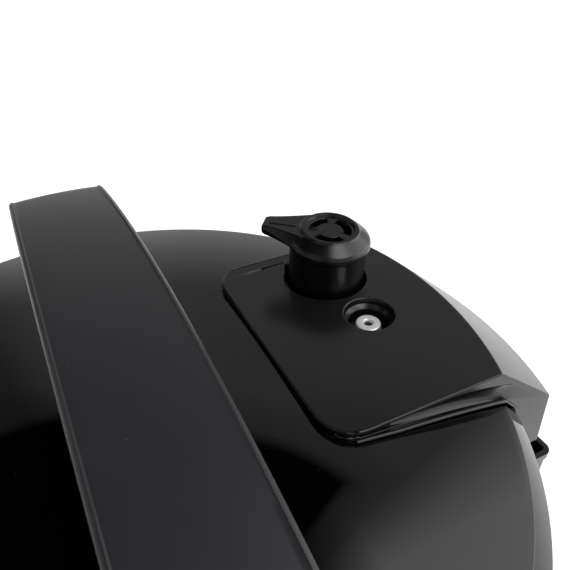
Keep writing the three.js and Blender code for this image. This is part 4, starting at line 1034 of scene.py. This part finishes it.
def make_collector():
    """Cup behind the cooker, hollowed to the body's curve, with a bead round its rim."""
    lo, hi = span("condensation_collector")
    wall, bead, front_r = 2, 0.9, BODY_R + 3.6

    def outline(inset):
        x, y, corner = hi.x - inset, hi.y - inset, 4 - inset
        return [(x, 115), (x, y, corner), (-x, y, corner), (-x, 115)]

    def solid(inset, low, high):
        return cut(slab(outline(inset), low, high), tube(0, front_r + inset, low - 5, high + 5, 192))

    whole = join(solid(0, lo.z, hi.z), solid(-bead, hi.z - 4, hi.z))
    cup = cut(whole, solid(wall, lo.z + wall, hi.z + 4))
    settle("collector_cup", cup, "condensation_collector", CUP_GLOSS,
           ["condensation_collector"], edge=0.7, segments=3, limit=35)


make_casing()
make_controls()
make_collector()


# ---- Cooking chamber and the lid's underside ----
def refine(name, label, corners, body, finish, steps=200):
    """A finer turned piece in place of one CAD node."""
    settle(label, turned(corners, steps), body, finish, [name], sharp=35)


def sector(r0, r1, mid, wide, z0, z1):
    """One lug: a short arc of a ring, with its mid line and width in degrees."""
    a = math.radians(wide)
    return turned([(r0, z0), (r1, z0, 0.5), (r1, z1, 0.5), (r0, z1)], 12,
                  angle=a, start=math.radians(mid) - a / 2)


def make_chamber():
    lo, hi = span("inner_pot")
    flange = hi.x
    refine("inner_pot", "inner_pot_drawn", [
        (0, lo.z), (POT_R + 1.5, lo.z, 12), (POT_R + 1.5, hi.z - 2, 0.5), (flange, hi.z - 2, 0.6),
        (flange, hi.z, 0.6), (POT_R + 0.4, hi.z, 1.2), (POT_R, hi.z - 3), (POT_R, lo.z + 1.5, 10.5),
        (0, lo.z + 1.5)], "inner_pot", POT_STEEL, 220)
    lo, hi = span("locking_ring")
    top = hi.z
    ring_in, ring_out = 126, 139.5
    ring = turned([
        (ring_in, top - 3), (ring_out - 2.5, top - 3), (ring_out - 2.5, lo.z), (ring_out, lo.z),
        (ring_out, top, 0.8), (ring_in, top, 0.8)], 200)
    ring = join(ring, *[sector(ring_out - 2, hi.x, i * 60, 25, top - 3, top) for i in range(6)])
    settle("locking_ring_pressed", ring, "base", PRESSED_STEEL, ["locking_ring"], sharp=35)
    lo, hi = span("heat_shield")
    rim_r, wall_r, floor_in = hi.x, 122.5, 86
    refine("heat_shield", "heat_shield_spun", [
        (floor_in, lo.z + 1.2), (wall_r, lo.z + 1.2, 3), (wall_r, hi.z, 1), (rim_r, hi.z, 0.4),
        (rim_r, hi.z - 1.2), (wall_r + 1.2, hi.z - 1.2), (wall_r + 1.2, lo.z, 4), (floor_in, lo.z)],
        "base", ALUMINIUM)
    lo, hi = span("heating_plate")
    bore = 18.8
    refine("heating_plate", "heating_plate_cast", [
        (bore, lo.z), (hi.x, lo.z, 1), (hi.x, hi.z - 3, 1.5), (hi.x - 5, hi.z, 2), (bore, hi.z, 1)],
        "base", ALUMINIUM)
    lo, hi = span("temperature_sensor")
    refine("temperature_sensor", "sensor_cap", [
        (0, lo.z), (4, lo.z, 0.5), (4, hi.z - 7.7), (17, hi.z - 7.7, 0.6), (17, hi.z, 1.6), (0, hi.z)],
        "temperature_sensor", ALUMINIUM, 72)
    lo, hi = span("lid_lug_ring")
    skirt_in, skirt_out = 146.3, 147.8
    ring = turned([
        (skirt_in, lo.z), (skirt_out, lo.z, 0.5), (skirt_out, hi.z - 1.5, 1), (hi.x, hi.z - 1.5),
        (hi.x, hi.z), (skirt_in, hi.z)], 200)
    ring = join(ring, *[sector(141.3, skirt_in + 0.7, i * 60 + 30, 25, lo.z, lo.z + 2.5) for i in range(6)])
    settle("lid_lug_ring_pressed", ring, "lid", PRESSED_STEEL, ["lid_lug_ring"], sharp=35)
    lo, hi = span("sealing_ring")
    inner, outer = POT_R + 6, hi.x
    refine("sealing_ring", "sealing_ring_moulded", [
        (inner + 1, lo.z + 0.5, 0.4), (outer - 2.5, lo.z, 0.8), (outer, lo.z + 3, 1), (outer, hi.z, 0.8),
        (inner, hi.z, 0.8), (inner, lo.z + 4, 0.6)], "lid_seal", SILICONE)
    lo, hi = span("seal_rack")
    mid_z, ring_r = (lo.z + hi.z) / 2, hi.x - 1.3
    refine("seal_rack", "seal_rack_wire", [
        (ring_r - 1.25, mid_z - 1.25, 1.2), (ring_r + 1.25, mid_z - 1.25, 1.2),
        (ring_r + 1.25, mid_z + 1.25, 1.2), (ring_r - 1.25, mid_z + 1.25, 1.2)],
        "lid_seal", PRESSED_STEEL)


def make_sensor_spring():
    """Open coil under the sensor, with its end turns laid flat."""
    lo, hi = span("sensor_spring")
    wire_r = 0.75
    coil_r = (hi.x - lo.x) / 2 - wire_r
    turns, per_turn = 5, 28
    low, high = lo.z + wire_r, hi.z - wire_r
    total = turns * per_turn
    round_wire = [FULL * j / 10 for j in range(10)]

    def ring(i):
        k = i / total
        a = FULL * turns * k
        rise = min(1.0, max(0.0, (k * turns - 0.75) / (turns - 1.5)))
        out = Vector((math.cos(a), math.sin(a), 0))
        centre = out * coil_r + Vector((0, 0, low + (high - low) * rise))
        return [centre + out * wire_r * math.cos(b) + Vector((0, 0, wire_r * math.sin(b)))
                for b in round_wire]

    coil = settle("sensor_spring_coil", swept(ring, total + 1), "base", PRESSED_STEEL,
                  ["sensor_spring"], sharp=60)
    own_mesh(coil)


make_chamber()
make_sensor_spring()

# ---- CAD nodes that keep their own shape get their finish here ----
KEPT = {
    MATT_BLACK: ["bottom_plate", "collector_rail", "handle_underside", "float_guide"],
    PRESSED_STEEL: ["base_screw_1", "base_screw_2", "base_screw_3", "base_screw_4", "sensor_bracket",
                    "heating_element", "steam_pipe", "pipe_nut", "anti_block_shield",
                    "release_pin", "handle_screw_right", "handle_screw_left", "centre_stud", "centre_nut",
                    "inner_lid"],
    BRASS: ["inlet_pin_1", "inlet_pin_2", "inlet_pin_3"],
    BOARD: ["power_board", "control_board"],
    SILICONE: ["float_gasket"],
}
for finish, names in KEPT.items():
    for name in names:
        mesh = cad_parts[name].data
        mesh.materials.clear()
        mesh.materials.append(finish)
